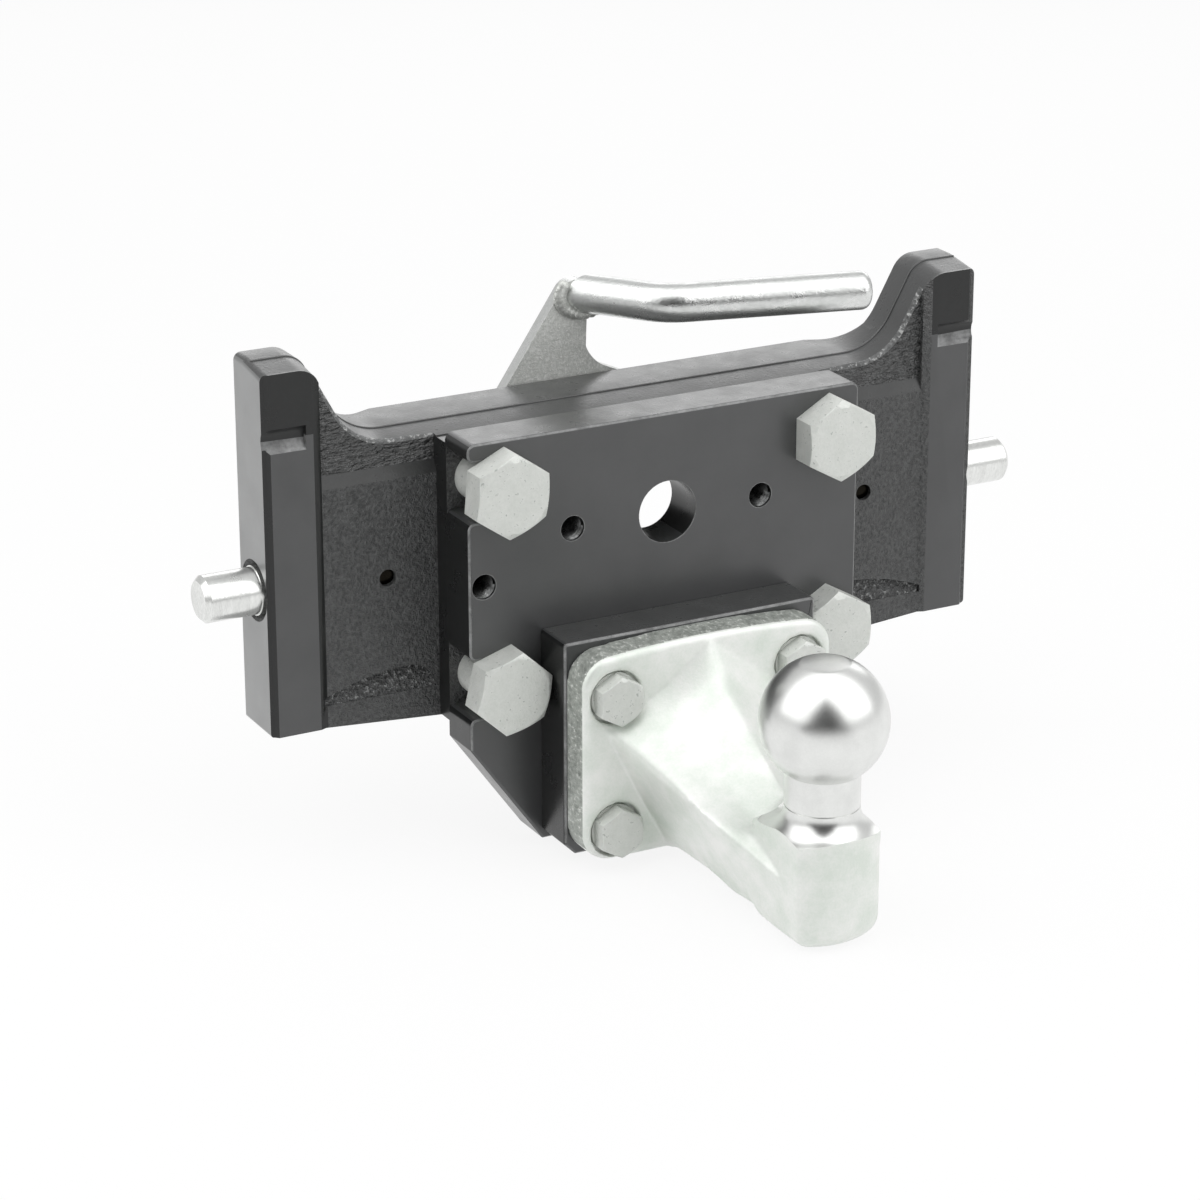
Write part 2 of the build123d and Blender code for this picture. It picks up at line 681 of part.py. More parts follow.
def pivot_bolt():
    """The shoulder bolt that the cam plate turns on."""
    seat_y = cam_back_y + pivot_shoulder_play
    bolt = rod(0, pivot_z, pivot_thread_dia, beam_back_y - pivot_thread_length, beam_back_y)
    bolt += rod(0, pivot_z, pivot_shoulder_dia, beam_back_y, seat_y)
    bolt += rod(0, pivot_z, pivot_flange_dia, seat_y, seat_y + pivot_flange_thickness)
    head = hex_head(pivot_across_flats, pivot_head, pivot_head_turn)
    return bolt + Pos(0, seat_y + pivot_flange_thickness, pivot_z) * Rot(-90, 0, 0) * head


def bar_path():
    """The bar's centre line: out from the plate, round one bend and on to the grip's end."""
    lean = (bar_bend_x - bar_foot_x) / (cam_front_y - bar_bend_y)
    start = (bar_foot_x - lean * bar_dia, cam_front_y + bar_dia)
    return FilletPolyline(start, (bar_bend_x, bar_bend_y), (bar_end_x, bar_end_y), radius=bar_bend_radius)


def handle_bar():
    """The round bar, cut flat where it meets the cam plate and rounded at its grip end."""
    path = Pos(0, 0, bar_z) * bar_path()
    bar = sweep(Plane(path @ 0, z_dir=path % 0) * Circle(bar_dia / 2), path)
    tip = bar.faces().sort_by_distance((bar_end_x, bar_end_y, bar_z))[0]
    bar = fillet(tip.edges(), bar_end_rounding)
    return bar - slab(Pos(0, bar_z) * Rectangle(8 * bar_dia, 4 * bar_dia), cam_front_y, 2 * beam_back_y)


def handle_weld():
    """The weld bead round the bar's foot, widest on the left and stopping short of the plate's top."""
    lean = atan2(cam_front_y - bar_bend_y, bar_bend_x - bar_foot_x)
    half_long = bar_dia / 2 / sin(lean)
    bead_x = bar_foot_x - (weld_left_leg - weld_leg) / 2
    bead_half = half_long + (weld_left_leg + weld_leg) / 2
    collar = loft([
        Plane.XZ.offset(-cam_front_y) * Pos(bead_x, bar_z) * Ellipse(bead_half, bar_dia / 2 + weld_leg),
        Plane.XZ.offset(weld_leg - cam_front_y) * Pos(bar_foot_x + weld_leg / tan(lean), bar_z) * Ellipse(
            half_long + weld_leg / 4, bar_dia / 2 + weld_leg / 4)])
    above = slab(Pos(bar_foot_x, tab_top - weld_below_top + bar_dia) * Rectangle(4 * bar_dia, 2 * bar_dia),
                 cam_front_y - 2 * weld_leg, cam_front_y + 1)
    return collar - handle_bar() - above


nodes = {
    "slide_carrier": slide_carrier(),
    "adapter_plate": adapter_plate(),
    "spacer_block": spacer_block(),
    "ball_flange": ball_flange(),
    "flange_washers": flange_washers(),
    "flange_bolts": flange_bolts(),
    "carrier_bolts": carrier_bolts(),
    "cam_plate": cam_plate(),
    "handle_bar": handle_bar(),
    "handle_weld": handle_weld(),
    "pivot_bush": pivot_bush(),
    "pivot_washer": pivot_washer(),
    "pivot_bolt": pivot_bolt(),
}
right_hand = {
    "locking_pin": locking_pin(),
    "pin_spring": pin_spring(),
    "spring_plug": spring_plug(),
    "follower_stud": follower_stud(),
    "follower_roller": follower_roller(),
    "follower_clip": follower_clip(),
}
for name, part in right_hand.items():
    nodes[name + "_right"] = part
    nodes[name + "_left"] = mirrored(part)

for name, part in nodes.items():
    solids = part if isinstance(part, list) else [part]
    export_step(Compound(children=[solid for part in solids for solid in part.solids()]),
                f"parts/{name}.step")
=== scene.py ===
from math import atan2, cos, pi, radians, sin, sqrt

import bpy
from mathutils import Matrix, Vector


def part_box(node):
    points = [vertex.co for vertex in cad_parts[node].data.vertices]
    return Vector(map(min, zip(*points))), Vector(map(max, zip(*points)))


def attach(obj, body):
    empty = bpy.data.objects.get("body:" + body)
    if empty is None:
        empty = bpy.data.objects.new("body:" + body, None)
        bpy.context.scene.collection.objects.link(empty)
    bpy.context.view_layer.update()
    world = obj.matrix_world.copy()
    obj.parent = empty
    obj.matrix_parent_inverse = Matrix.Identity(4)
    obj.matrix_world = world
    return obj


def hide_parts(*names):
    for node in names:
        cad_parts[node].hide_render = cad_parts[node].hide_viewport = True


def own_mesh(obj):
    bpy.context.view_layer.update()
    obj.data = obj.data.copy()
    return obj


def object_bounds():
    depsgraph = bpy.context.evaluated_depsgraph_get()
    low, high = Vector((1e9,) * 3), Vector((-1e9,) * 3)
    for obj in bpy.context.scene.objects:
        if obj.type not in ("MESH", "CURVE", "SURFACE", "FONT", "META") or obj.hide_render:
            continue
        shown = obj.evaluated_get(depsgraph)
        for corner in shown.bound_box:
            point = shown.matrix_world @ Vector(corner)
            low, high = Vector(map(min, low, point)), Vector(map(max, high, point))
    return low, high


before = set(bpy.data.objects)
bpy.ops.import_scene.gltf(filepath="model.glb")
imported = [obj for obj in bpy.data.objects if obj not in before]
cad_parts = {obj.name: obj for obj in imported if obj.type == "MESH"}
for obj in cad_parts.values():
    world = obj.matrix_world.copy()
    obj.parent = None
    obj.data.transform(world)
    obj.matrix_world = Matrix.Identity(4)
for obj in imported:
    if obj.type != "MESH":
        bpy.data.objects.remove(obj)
cad_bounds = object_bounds()

bl_info = {
    "name": "Adjustable ball hitch",
    "version": (1, 0, 0),
    "blender": (4, 5, 0),
    "location": "View3D > Sidebar > Hitch",
    "description": "Builds the finished look of a height-adjustable ball hitch round its CAD parts",
    "category": "Object",
}

MM = 0.001

# The photograph's camera, in pixels, metres and degrees
PHOTO_PIXELS = 1200
SENSOR_WIDTH = 36.0
FOCAL_PIXELS = 3857.9
CAMERA_PLACE = (-0.7016, -1.2654, 0.5040)
CAMERA_YAW = 27.94
CAMERA_PITCH = 20.52
CAMERA_ROLL = -0.083

# The stage: how bright the world is to matt and to shiny surfaces, how much of the floor is plain white
# to the camera and to shiny surfaces, and the flag's size and distance in metres
WORLD_LIGHT = 0.5
WORLD_SHINY = 0.65
FLOOR_PLAIN = 0.88
FLOOR_PLAIN_SHINY = 0.9
FLAG_RADIUS = 2.6
FLAG_DISTANCE = 2.4

# How a CAD copy is cleaned: points nearer than this are one, faces flatter than this are one
MERGE_DISTANCE = 0.01 * MM
FLAT_ANGLE = 0.3
SMOOTH_ANGLE = 35
BEVEL_ANGLE = 30

# Places on the hitch that the frame doesn't name, in millimetres
BALL_AXIS_Y = -121.8
BALL_Z = -45.3
BALL_RADIUS = 25.0
BALL_SPIN_STEPS = 160
BALL_ARC_STEPS = 96
BALL_FLAT_RADIUS = 9.5
NECK_RADIUS = 14.5
FLARE_RADIUS = 10.0
HEAD_TOP = -89.5
HEAD_HALF_WIDTH = 18.3
HEAD_CORNER_FORWARD = 13.0
HEAD_NOSE_FORWARD = 19.2
FLANGE_FRONT_Y = -35.0
FLANGE_BACK_Y = -20.0
SPOTFACE_RADIUS = 11.25
SPOTFACE_FLOOR_Y = -30.5
SPOTFACE_REACH = 9.0
WASHER_RADIUS = 10.25
SHEARED_SIDE_X = 54.0
SHEARED_TOP_Z = -48.0
SHEARED_FOOT_Z = -126.0
ROOT_END_Y = -78.0
ROOT_HALF_WIDTH = 51.0
ROOT_PASSES = 150
NECK_JOIN_Y = -100.0
NECK_JOIN_REACH = 16.0
NECK_JOIN_SHARE = 0.6
PANEL_Y = 29.0
UPPER_PANEL_Y = 31.2
BAND_FOOT_Z = 22.0
BAND_TOP_Z = 27.0
PAD_HALF = 87.5
SCOOP_INNER_X = 88.0
SCOOP_OUTER_X = 139.0
SCOOP_FOOT_Z = -68.0
SCOOP_TOP_Z = -56.0
SCOOP_BACK_Y = 34.5
CASTING_TOP_Z = 30.0
RAIL_WIDTH = 21.0
RAIL_FACE_Y = 27.5
GROOVE_TOP_Z = 46.0
# The grooves' upper halves, from GROOVE_MIDDLE_Z to GROOVE_SHADE_Z, are darkened with painted shade; their
# lower halves, from GROOVE_FOOT_Z, carry a painted highlight
GROOVE_FOOT_Z = 40.0
GROOVE_MIDDLE_Z = 45.0
GROOVE_SHADE_Z = 50.4
GROOVE_BACK_Y = 30.2
# DARK_STRIP is the width of the strip along the left rail's outer front edge that is darkened with painted
# shade
DARK_STRIP = 3.0
PIN_BORE_MOUTH_X = 158.5
PARTING_Y = 42.0
PARTING_LOW_Z = 38.0
PARTING_END_X = 159.0
PLATE_WORN_FOOT_Z = -100.0
WELD_BEAD_RADIUS = 1.7
WELD_LEFT_EXTRA = 1.0
WELD_SINK = 0.3
WELD_GRID = 0.35
TAPPED_HOLES = ((-42.5, 0.0), (42.5, 0.0), (-81.5, -17.8))
TAPPED_RADIUS = 5.1
THREAD_SINK = 0.05
THREAD_HALF_SHARE = 0.42
THREAD_STEPS = 28


def linear(hex_colour):
    """Turns an sRGB hex colour into the linear values that a shader socket takes."""
    channels = [int(hex_colour[at:at + 2], 16) / 255 for at in (1, 3, 5)]
    return tuple(c / 12.92 if c <= 0.04045 else ((c + 0.055) / 1.055) ** 2.4 for c in channels)


def colour(name, words, hex_colour):
    """A colour that the user can change in the panel."""
    return bpy.props.FloatVectorProperty(
        name=name, description=words, subtype="COLOR", default=linear(hex_colour), min=0, max=1)


def size(name, words, millimetres):
    """A length that the user can change in the panel."""
    return bpy.props.FloatProperty(
        name=name, description=words, subtype="DISTANCE", unit="LENGTH", default=millimetres * MM,
        min=0.05 * MM, max=20 * MM)


class HitchColours(bpy.types.PropertyGroup):
    """The colours of the hitch's finishes"""
    cast_paint: colour("Cast paint", "Black paint on the casting", "#313232")
    plate_paint: colour("Plate paint", "Black paint on the machined plates and rails", "#373839")
    # Painted shade: the near-black that darkens the rail fronts above the grooves, the pad's and the
    # plates' sides and the grooves' upper halves
    painted_shade_colour: colour("Painted shade", "The paint where it lies thick", "#151616")
    bare_metal: colour("Worn metal", "Metal that shows where the paint has worn off", "#B9BAB9")
    forging: colour("Plated forging", "Zinc plating on the ball flange", "#F4F5F2")
    forging_hollow: colour("Plating in hollows", "The greener tint in the plating", "#E0E7DF")
    turned: colour("Turned metal", "The machined ball, neck and flare", "#ECEDEB")
    bolts: colour("Bolt coating", "Zinc flake on the bolts", "#D3D6D1")
    sheet: colour("Plated sheet", "Zinc on the cam plate", "#E6E7E4")
    bar: colour("Plated bar", "Bright zinc on the drawn bar", "#E3E4E3")
    # Painted shade: the near-black of the pins where they run inside their bores
    shade: colour("Shade in bores", "Dark grease on the pins inside their bores", "#1A1814")
    bronze: colour("Bronze", "The bush in the cam plate", "#A9803F")
    floor: colour("Floor", "The pale floor and backdrop", "#F4F4F4")


class HitchSizes(bpy.types.PropertyGroup):
    """The sizes of the finish work"""
    machined_edge: size("Machined edge", "Rounding of machined and sheared edges", 0.5)
    cast_edge: size("Cast edge", "Rounding of the casting's edges", 0.9)
    chipped_edge: size("Chipped edge", "Rounding of the casting's rough front edge", 1.5)
    fastener_edge: size("Fastener edge", "Rounding of small turned and pressed edges", 0.25)
    forging_grid: size("Forging grid", "Grid of the forging's mesh, which softens its edges", 0.95)
    parting_line: size("Parting line", "Half the height of the casting's parting line", 0.45)
    thread_pitch: size("Thread pitch", "Pitch of the tapped holes' threads", 1.75)
    thread_depth: size("Thread depth", "Depth of the tapped holes' threads", 0.6)
    weld_ripple: size("Weld ripple", "Distance from one ripple of the weld to the next", 2.6)


def add_node(material, kind, settings=None, inputs=None):
    """Adds a shader node; each input is a value or another node's output socket."""
    made = material.node_tree.nodes.new(kind)
    for name, value in (settings or {}).items():
        setattr(made, name, value)
    for name, value in (inputs or {}).items():
        if isinstance(value, bpy.types.NodeSocket):
            material.node_tree.links.new(value, made.inputs[name])
        else:
            made.inputs[name].default_value = value
    return made


def grained(name, look, surface):
    """A coated or bare surface: two tones, specks on them, and a grain that the light picks up.

    look holds sizes in millimetres and colours; surface holds values set on the shader's own sockets.
    The finishes below give no grain finer than 0.8 mm, so that each grain shows in the render.
    """
    material = bpy.data.materials.new(name)
    material.use_nodes = True
    material.node_tree.nodes.clear()
    place = add_node(material, "ShaderNodeTexCoord").outputs["Object"]
    if "stretch" in look:
        place = add_node(material, "ShaderNodeMapping", None, {
            "Vector": place, "Scale": look["stretch"]}).outputs["Vector"]
    patches = add_node(material, "ShaderNodeTexNoise", None, {
        "Vector": place, "Scale": 1 / (look["patch"] * MM), "Detail": 5.0, "Roughness": 0.6}).outputs[0]
    grain = add_node(material, "ShaderNodeTexNoise", None, {
        "Vector": place, "Scale": 1 / (look["grain"] * MM), "Detail": 3.0, "Roughness": 0.65}).outputs[0]
    mottle = add_node(material, "ShaderNodeMix", None, {
        0: look["mottle"], 2: patches, 3: grain}).outputs[0]
    blend = add_node(material, "ShaderNodeMapRange", None, {
        "Value": mottle, "From Min": 0.36, "From Max": 0.64}).outputs[0]
    tone = add_node(material, "ShaderNodeMix", {"data_type": "RGBA"}, {
        0: blend, 6: (*look["tone"], 1), 7: (*look["other"], 1)}).outputs[2]
    rough = add_node(material, "ShaderNodeMapRange", None, {
        "Value": patches, "From Min": 0.35, "From Max": 0.65,
        "To Min": look["rough"][0], "To Max": look["rough"][1]}).outputs[0]
    inputs = {"Base Color": tone, "Roughness": rough}
    if "speck" in look:
        start = 1 - look["specks"]
        shown = add_node(material, "ShaderNodeMapRange", None, {
            "Value": grain, "From Min": start, "From Max": start + 0.06}).outputs[0]
        inputs["Base Color"] = add_node(material, "ShaderNodeMix", {"data_type": "RGBA"}, {
            0: shown, 6: tone, 7: (*look["speck"], 1)}).outputs[2]
    bumped = add_node(material, "ShaderNodeBump", None, {
        "Strength": look["strength"], "Distance": look["depth"] * MM, "Height": grain}).outputs[0]
    inputs["Normal"] = bumped
    if "Coat Weight" in surface:
        inputs["Coat Normal"] = bumped
    shader = add_node(material, "ShaderNodeBsdfPrincipled", None, {**inputs, **surface})
    add_node(material, "ShaderNodeOutputMaterial", None, {"Surface": shader.outputs[0]})
    return material


def cast_paint(colours):
    """Black paint over a sand casting: the sand's grain shows through as a fine sparkle."""
    return grained("Black paint on sand casting", {
        "patch": 12.0, "grain": 1.35, "mottle": 0.92, "depth": 1.3, "strength": 1.0, "rough": (0.36, 0.46),
        "tone": linear("#2B2C2C"), "other": linear("#515252"),
    }, {"Coat Weight": 0.5, "Coat Roughness": 0.4})


def rippled_paint(colours):
    """Black paint over the casting's coarse upper skin, whose ripples run across and catch the light."""
    return grained("Black paint on rippled casting", {
        "patch": 6.0, "grain": 2.2, "mottle": 0.92, "depth": 3.4, "strength": 1.0, "rough": (0.28, 0.4),
        "stretch": (0.5, 1.0, 1.25), "tone": linear("#101111"), "other": linear("#454646"),
    }, {"Coat Weight": 0.9, "Coat Roughness": 0.2})


def scoop_skin(colours):
    """Thick paint on a scoop's coarse floor: black, with pale specks painted on as a sheen on its grains.
    """
    return grained("Black paint on coarse casting", {
        "patch": 5.0, "grain": 1.5, "mottle": 0.9, "depth": 2.2, "strength": 1.0, "rough": (0.25, 0.4),
        "tone": linear("#1D1E1E"), "other": linear("#5E5F5F"), "speck": linear("#A2A3A3"), "specks": 0.42,
    }, {"Coat Weight": 1.0, "Coat Roughness": 0.2})


def beam_paint(colours):
    """Black paint on the casting's smooth top skin: satin, with a cloudy sheen."""
    return grained("Black paint on smooth casting", {
        "patch": 10.0, "grain": 1.2, "mottle": 0.3, "depth": 0.2, "strength": 0.5, "rough": (0.26, 0.4),
        "tone": linear("#3A3B3B"), "other": colours.cast_paint,
    }, {"Coat Weight": 0.7, "Coat Roughness": 0.32, "Specular IOR Level": 0.6})


def plate_paint(colours):
    """Black paint on machined plate: satin, with faint clouds from the spray."""
    return grained("Black paint on machined plate", {
        "patch": 26.0, "grain": 1.2, "mottle": 0.2, "depth": 0.06, "strength": 0.35, "rough": (0.3, 0.4),
        "tone": colours.plate_paint, "other": linear("#303132"),
    }, {"Coat Weight": 0.8, "Coat Roughness": 0.3, "Specular IOR Level": 0.6})


def painted_shade_black(colours):
    """Painted shade: glossy paint darkened nearly to black on faces where shade falls."""
    return grained("Black paint as painted shade", {
        "patch": 16.0, "grain": 2.0, "mottle": 0.2, "depth": 0.06, "strength": 0.3, "rough": (0.25, 0.36),
        "tone": colours.painted_shade_colour, "other": linear("#1C1D1D"),
    }, {"Coat Weight": 0.25, "Coat Roughness": 0.22, "Specular IOR Level": 0.35})


def side_paint_and_sheen(colours):
    """Thin paint on the rails' sliding sides, rubbed to a dull grey; its light grey colour is partly a
    painted sheen.
    """
    return grained("Rubbed paint and painted sheen on sliding face", {
        "patch": 30.0, "grain": 1.0, "mottle": 0.2, "depth": 0.05, "strength": 0.3, "rough": (0.3, 0.4),
        "tone": linear("#767777"), "other": linear("#6D6E6E"),
    }, {"Metallic": 0.35, "Coat Weight": 1.0, "Coat Roughness": 0.3})


def worn_edge_and_highlight(colours):
    """A machined edge where handling has rubbed the paint thin and grey; in the rails' grooves the same
    grey on the lower half is a painted highlight.
    """
    return grained("Rubbed painted edge and painted highlight", {
        "patch": 9.0, "grain": 2.5, "mottle": 0.4, "depth": 0.05, "strength": 0.3, "rough": (0.3, 0.4),
        "tone": linear("#8C8D8D"), "other": linear("#4A4B4B"),
    }, {"Coat Weight": 0.6, "Coat Roughness": 0.25})


def chipped_edge(colours):
    """A rough cast edge whose high grains are rubbed to bright metal, with black between them."""
    return grained("Chipped paint on cast edge", {
        "patch": 7.0, "grain": 1.6, "mottle": 0.6, "depth": 1.2, "strength": 0.9, "rough": (0.35, 0.5),
        "tone": linear("#4A4B4B"), "other": linear("#7B7C7C"), "speck": colours.bare_metal,
        "specks": 0.45,
    }, {"Coat Weight": 0.5, "Coat Roughness": 0.3})


def thread_steel(colours):
    """Oiled thread: nearly black, with a thin glint along each ridge."""
    return grained("Oiled tapped thread", {
        "patch": 4.0, "grain": 1.0, "mottle": 0.3, "depth": 0.03, "strength": 0.3, "rough": (0.25, 0.4),
        "tone": linear("#8A8B8B"), "other": linear("#4A4B4B"),
    }, {"Metallic": 1.0})


def forged_zinc(colours):
    """Zinc plating on a shot-blasted forging: pale satin with a faint green cast in patches."""
    return grained("Zinc on blasted forging", {
        "patch": 17.0, "grain": 1.1, "mottle": 0.25, "depth": 0.16, "strength": 0.5, "rough": (0.34, 0.46),
        "tone": colours.forging, "other": colours.forging_hollow,
    }, {"Metallic": 0.3})


def sheared_zinc(colours):
    """Zinc plating over a torn, sheared edge: grey streaks with bright grains."""
    return grained("Zinc on sheared edge", {
        "patch": 4.0, "grain": 1.5, "mottle": 0.6, "depth": 0.9, "strength": 1.0, "rough": (0.35, 0.6),
        "stretch": (1.0, 0.6, 1.0), "tone": linear("#8E938D"), "other": linear("#C6CAC4"),
        "speck": linear("#E6E8E4"), "specks": 0.4,
    }, {"Metallic": 0.4})


def turned_metal(colours):
    """Turned and plated steel: bright and even, with a fine satin grain."""
    return grained("Turned plated steel", {
        "patch": 9.0, "grain": 0.8, "mottle": 0.3, "depth": 0.02, "strength": 0.4, "rough": (0.29, 0.33),
        "tone": colours.turned, "other": linear("#E2E3E1"),
    }, {"Metallic": 1.0})


def bolt_zinc(colours):
    """Zinc flake over a cold-forged bolt: matt light grey with a hammered grain."""
    return grained("Zinc flake on forged bolt", {
        "patch": 5.0, "grain": 1.8, "mottle": 0.5, "depth": 0.35, "strength": 0.7, "rough": (0.4, 0.54),
        "tone": colours.bolts, "other": linear("#DFE1DD"), "speck": linear("#B4B8B3"), "specks": 0.38,
    }, {"Metallic": 0.3})


def sheet_zinc(colours):
    """Zinc on blasted sheet steel: a salt-and-pepper grain of pale greys."""
    return grained("Zinc on blasted sheet", {
        "patch": 5.0, "grain": 1.2, "mottle": 0.85, "depth": 0.4, "strength": 0.8, "rough": (0.4, 0.52),
        "tone": colours.sheet, "other": linear("#BDC0BB"), "speck": linear("#F4F4F2"), "specks": 0.39,
    }, {"Metallic": 0.2})


def bar_zinc(colours):
    """Bright zinc on drawn bar: shiny, with fine marks that break up its reflections."""
    return grained("Bright zinc on drawn bar", {
        "patch": 6.0, "grain": 1.3, "mottle": 0.5, "depth": 0.2, "strength": 0.6, "rough": (0.24, 0.36),
        "stretch": (0.6, 1.0, 1.0), "tone": colours.bar, "other": linear("#CFD1CF"),
    }, {"Metallic": 1.0})


def weld_zinc(colours):
    """Zinc over a weld bead: bright ripples with darker burnt flecks."""
    return grained("Zinc on weld bead", {
        "patch": 2.0, "grain": 0.9, "mottle": 0.6, "depth": 0.3, "strength": 0.7, "rough": (0.3, 0.5),
        "tone": linear("#E1E3DF"), "other": linear("#9C9E99"), "speck": linear("#F6F7F4"), "specks": 0.42,
    }, {"Metallic": 0.6})


def spring_steel(colours):
    """Oiled spring wire: dark blue-grey with a soft sheen along the wire."""
    return grained("Oiled spring wire", {
        "patch": 4.0, "grain": 0.8, "mottle": 0.3, "depth": 0.03, "strength": 0.3, "rough": (0.28, 0.4),
        "tone": linear("#5A5D61"), "other": linear("#474A4E"),
    }, {"Metallic": 1.0})


def roller_steel(colours):
    """Hardened and ground steel: even, mid-grey and fairly bright."""
    return grained("Ground roller steel", {
        "patch": 6.0, "grain": 0.8, "mottle": 0.3, "depth": 0.02, "strength": 0.3, "rough": (0.2, 0.32),
        "tone": linear("#A3A5A6"), "other": linear("#8F9293"),
    }, {"Metallic": 1.0})


def bush_bronze(colours):
    """Turned bearing bronze: warm and slightly tarnished."""
    return grained("Turned bronze", {
        "patch": 4.0, "grain": 0.8, "mottle": 0.3, "depth": 0.02, "strength": 0.3, "rough": (0.28, 0.4),
        "tone": colours.bronze, "other": linear("#8A6A38"),
    }, {"Metallic": 1.0})


def pin_zinc(colours):
    """Ground, plated pin: bright with fine rings outside, and darkened with painted shade where it runs in
    its bore.
    """
    material = grained("Ground plated pin", {
        "patch": 8.0, "grain": 1.0, "mottle": 0.5, "depth": 0.05, "strength": 0.5, "rough": (0.2, 0.28),
        "stretch": (3.0, 0.6, 0.6), "tone": colours.turned, "other": linear("#D9DAD8"),
    }, {"Metallic": 1.0})
    shader = next(made for made in material.node_tree.nodes if made.type == "BSDF_PRINCIPLED")
    clean = shader.inputs["Base Color"].links[0].from_socket
    place = add_node(material, "ShaderNodeTexCoord").outputs["Object"]
    across = add_node(material, "ShaderNodeSeparateXYZ", None, {0: place}).outputs["X"]
    out = add_node(material, "ShaderNodeMath", {"operation": "ABSOLUTE"}, {0: across}).outputs[0]
    # Inside the bore mouth the pin turns near-black: painted shade.
    shaded_in_bore = add_node(material, "ShaderNodeMapRange", None, {
        "Value": out, "From Min": PIN_BORE_MOUTH_X * MM, "From Max": (PIN_BORE_MOUTH_X + 1) * MM,
        "To Min": 1.0, "To Max": 0.0}).outputs[0]
    tone = add_node(material, "ShaderNodeMix", {"data_type": "RGBA"}, {
        0: shaded_in_bore, 6: clean, 7: (*colours.shade, 1)}).outputs[2]
    material.node_tree.links.new(tone, shader.inputs["Base Color"])
    return material


def only(piece):
    """Selects one object and makes it the active one."""
    bpy.ops.object.select_all(action="DESELECT")
    piece.select_set(True)
    bpy.context.view_layer.objects.active = piece


def copy_of(node, name):
    """A CAD node's shape as a mesh of its own, with its triangles merged and flat faces made whole."""
    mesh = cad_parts[node].data.copy()
    mesh.materials.clear()
    piece = bpy.data.objects.new(name, mesh)
    bpy.context.scene.collection.objects.link(piece)
    only(piece)
    bpy.ops.mesh.customdata_custom_splitnormals_clear()
    bpy.ops.object.mode_set(mode="EDIT")
    bpy.ops.mesh.select_all(action="SELECT")
    bpy.ops.mesh.remove_doubles(threshold=MERGE_DISTANCE)
    bpy.ops.mesh.dissolve_limited(angle_limit=radians(FLAT_ANGLE))
    bpy.ops.object.mode_set(mode="OBJECT")
    return piece


def apply(piece, kind, **settings):
    """Adds a modifier with its settings and applies it."""
    only(piece)
    added = piece.modifiers.new(kind, kind)
    for name, value in settings.items():
        setattr(added, name, value)
    bpy.ops.object.modifier_apply(modifier=added.name)


def round_edges(piece, width):
    """Rounds the sharp edges and shades the rest smooth."""
    apply(piece, "BEVEL", width=width, segments=2, limit_method="ANGLE", angle_limit=radians(BEVEL_ANGLE),
          use_clamp_overlap=True)
    bpy.ops.object.shade_smooth_by_angle(angle=radians(SMOOTH_ANGLE))
    apply(piece, "WEIGHTED_NORMAL", keep_sharp=True)


def round_bar(name, radius, low, high, axis, sides=96):
    """A cylinder between two points, in millimetres, that differ along one axis."""
    turn = {"X": (0, pi / 2, 0), "Y": (pi / 2, 0, 0), "Z": (0, 0, 0)}[axis]
    middle = [(a + b) / 2 * MM for a, b in zip(low, high)]
    length = sum(abs(b - a) for a, b in zip(low, high)) * MM
    bpy.ops.object.select_all(action="DESELECT")
    bpy.ops.mesh.primitive_cylinder_add(
        vertices=sides, radius=radius * MM, depth=length, location=middle, rotation=turn)
    made = bpy.context.active_object
    made.name = name
    bpy.ops.object.transform_apply(location=True, rotation=True, scale=True)
    return made


def carve(piece, tool, operation="DIFFERENCE"):
    """Cuts a piece with a tool, or keeps what they share; the cut takes the tool's own finish."""
    apply(piece, "BOOLEAN", operation=operation, object=tool, solver="EXACT", material_mode="TRANSFER")
    bpy.data.objects.remove(tool)


def finish(maker):
    """A finish's material, made the first time that it is asked for."""
    if maker.__name__ not in FINISHES:
        FINISHES[maker.__name__] = maker(bpy.context.scene.hitch_colours)
    return FINISHES[maker.__name__]


def pick_edges(piece, belongs):
    """Goes into edit mode with just those edges picked whose two ends, in millimetres, pass a test."""
    only(piece)
    bpy.ops.object.mode_set(mode="EDIT")
    bpy.ops.mesh.select_mode(type="EDGE")
    bpy.ops.mesh.select_all(action="DESELECT")
    bpy.ops.object.mode_set(mode="OBJECT")
    places = [point.co / MM for point in piece.data.vertices]
    for edge in piece.data.edges:
        edge.select = all(belongs(places[at]) for at in edge.vertices)
    bpy.ops.object.mode_set(mode="EDIT")


def turned(name, profile, centre, steps=128):
    """A solid spun about a vertical axis: one point is drawn out along the profile, then spun.

    The profile's radii and heights and the centre are in millimetres.
    """
    x, y, z = (c * MM for c in centre)
    bpy.ops.object.select_all(action="DESELECT")
    bpy.ops.mesh.primitive_plane_add(size=MM, location=(x + profile[0][0] * MM, y, z + profile[0][1] * MM))
    made = bpy.context.active_object
    made.name = name
    bpy.ops.object.transform_apply(location=True, rotation=True, scale=True)
    bpy.ops.object.mode_set(mode="EDIT")
    bpy.ops.mesh.select_all(action="SELECT")
    bpy.ops.mesh.merge(type="CENTER")
    for (from_radius, from_height), (radius, height) in zip(profile, profile[1:]):
        bpy.ops.mesh.extrude_vertices_move(TRANSFORM_OT_translate={
            "value": ((radius - from_radius) * MM, 0, (height - from_height) * MM)})
    bpy.ops.mesh.select_all(action="SELECT")
    bpy.ops.mesh.spin(steps=steps, angle=2 * pi, center=(x, y, z), axis=(0, 0, 1))
    bpy.ops.mesh.select_all(action="SELECT")
    bpy.ops.mesh.remove_doubles(threshold=MERGE_DISTANCE)
    bpy.ops.mesh.normals_make_consistent(inside=False)
    bpy.ops.object.mode_set(mode="OBJECT")
    return made


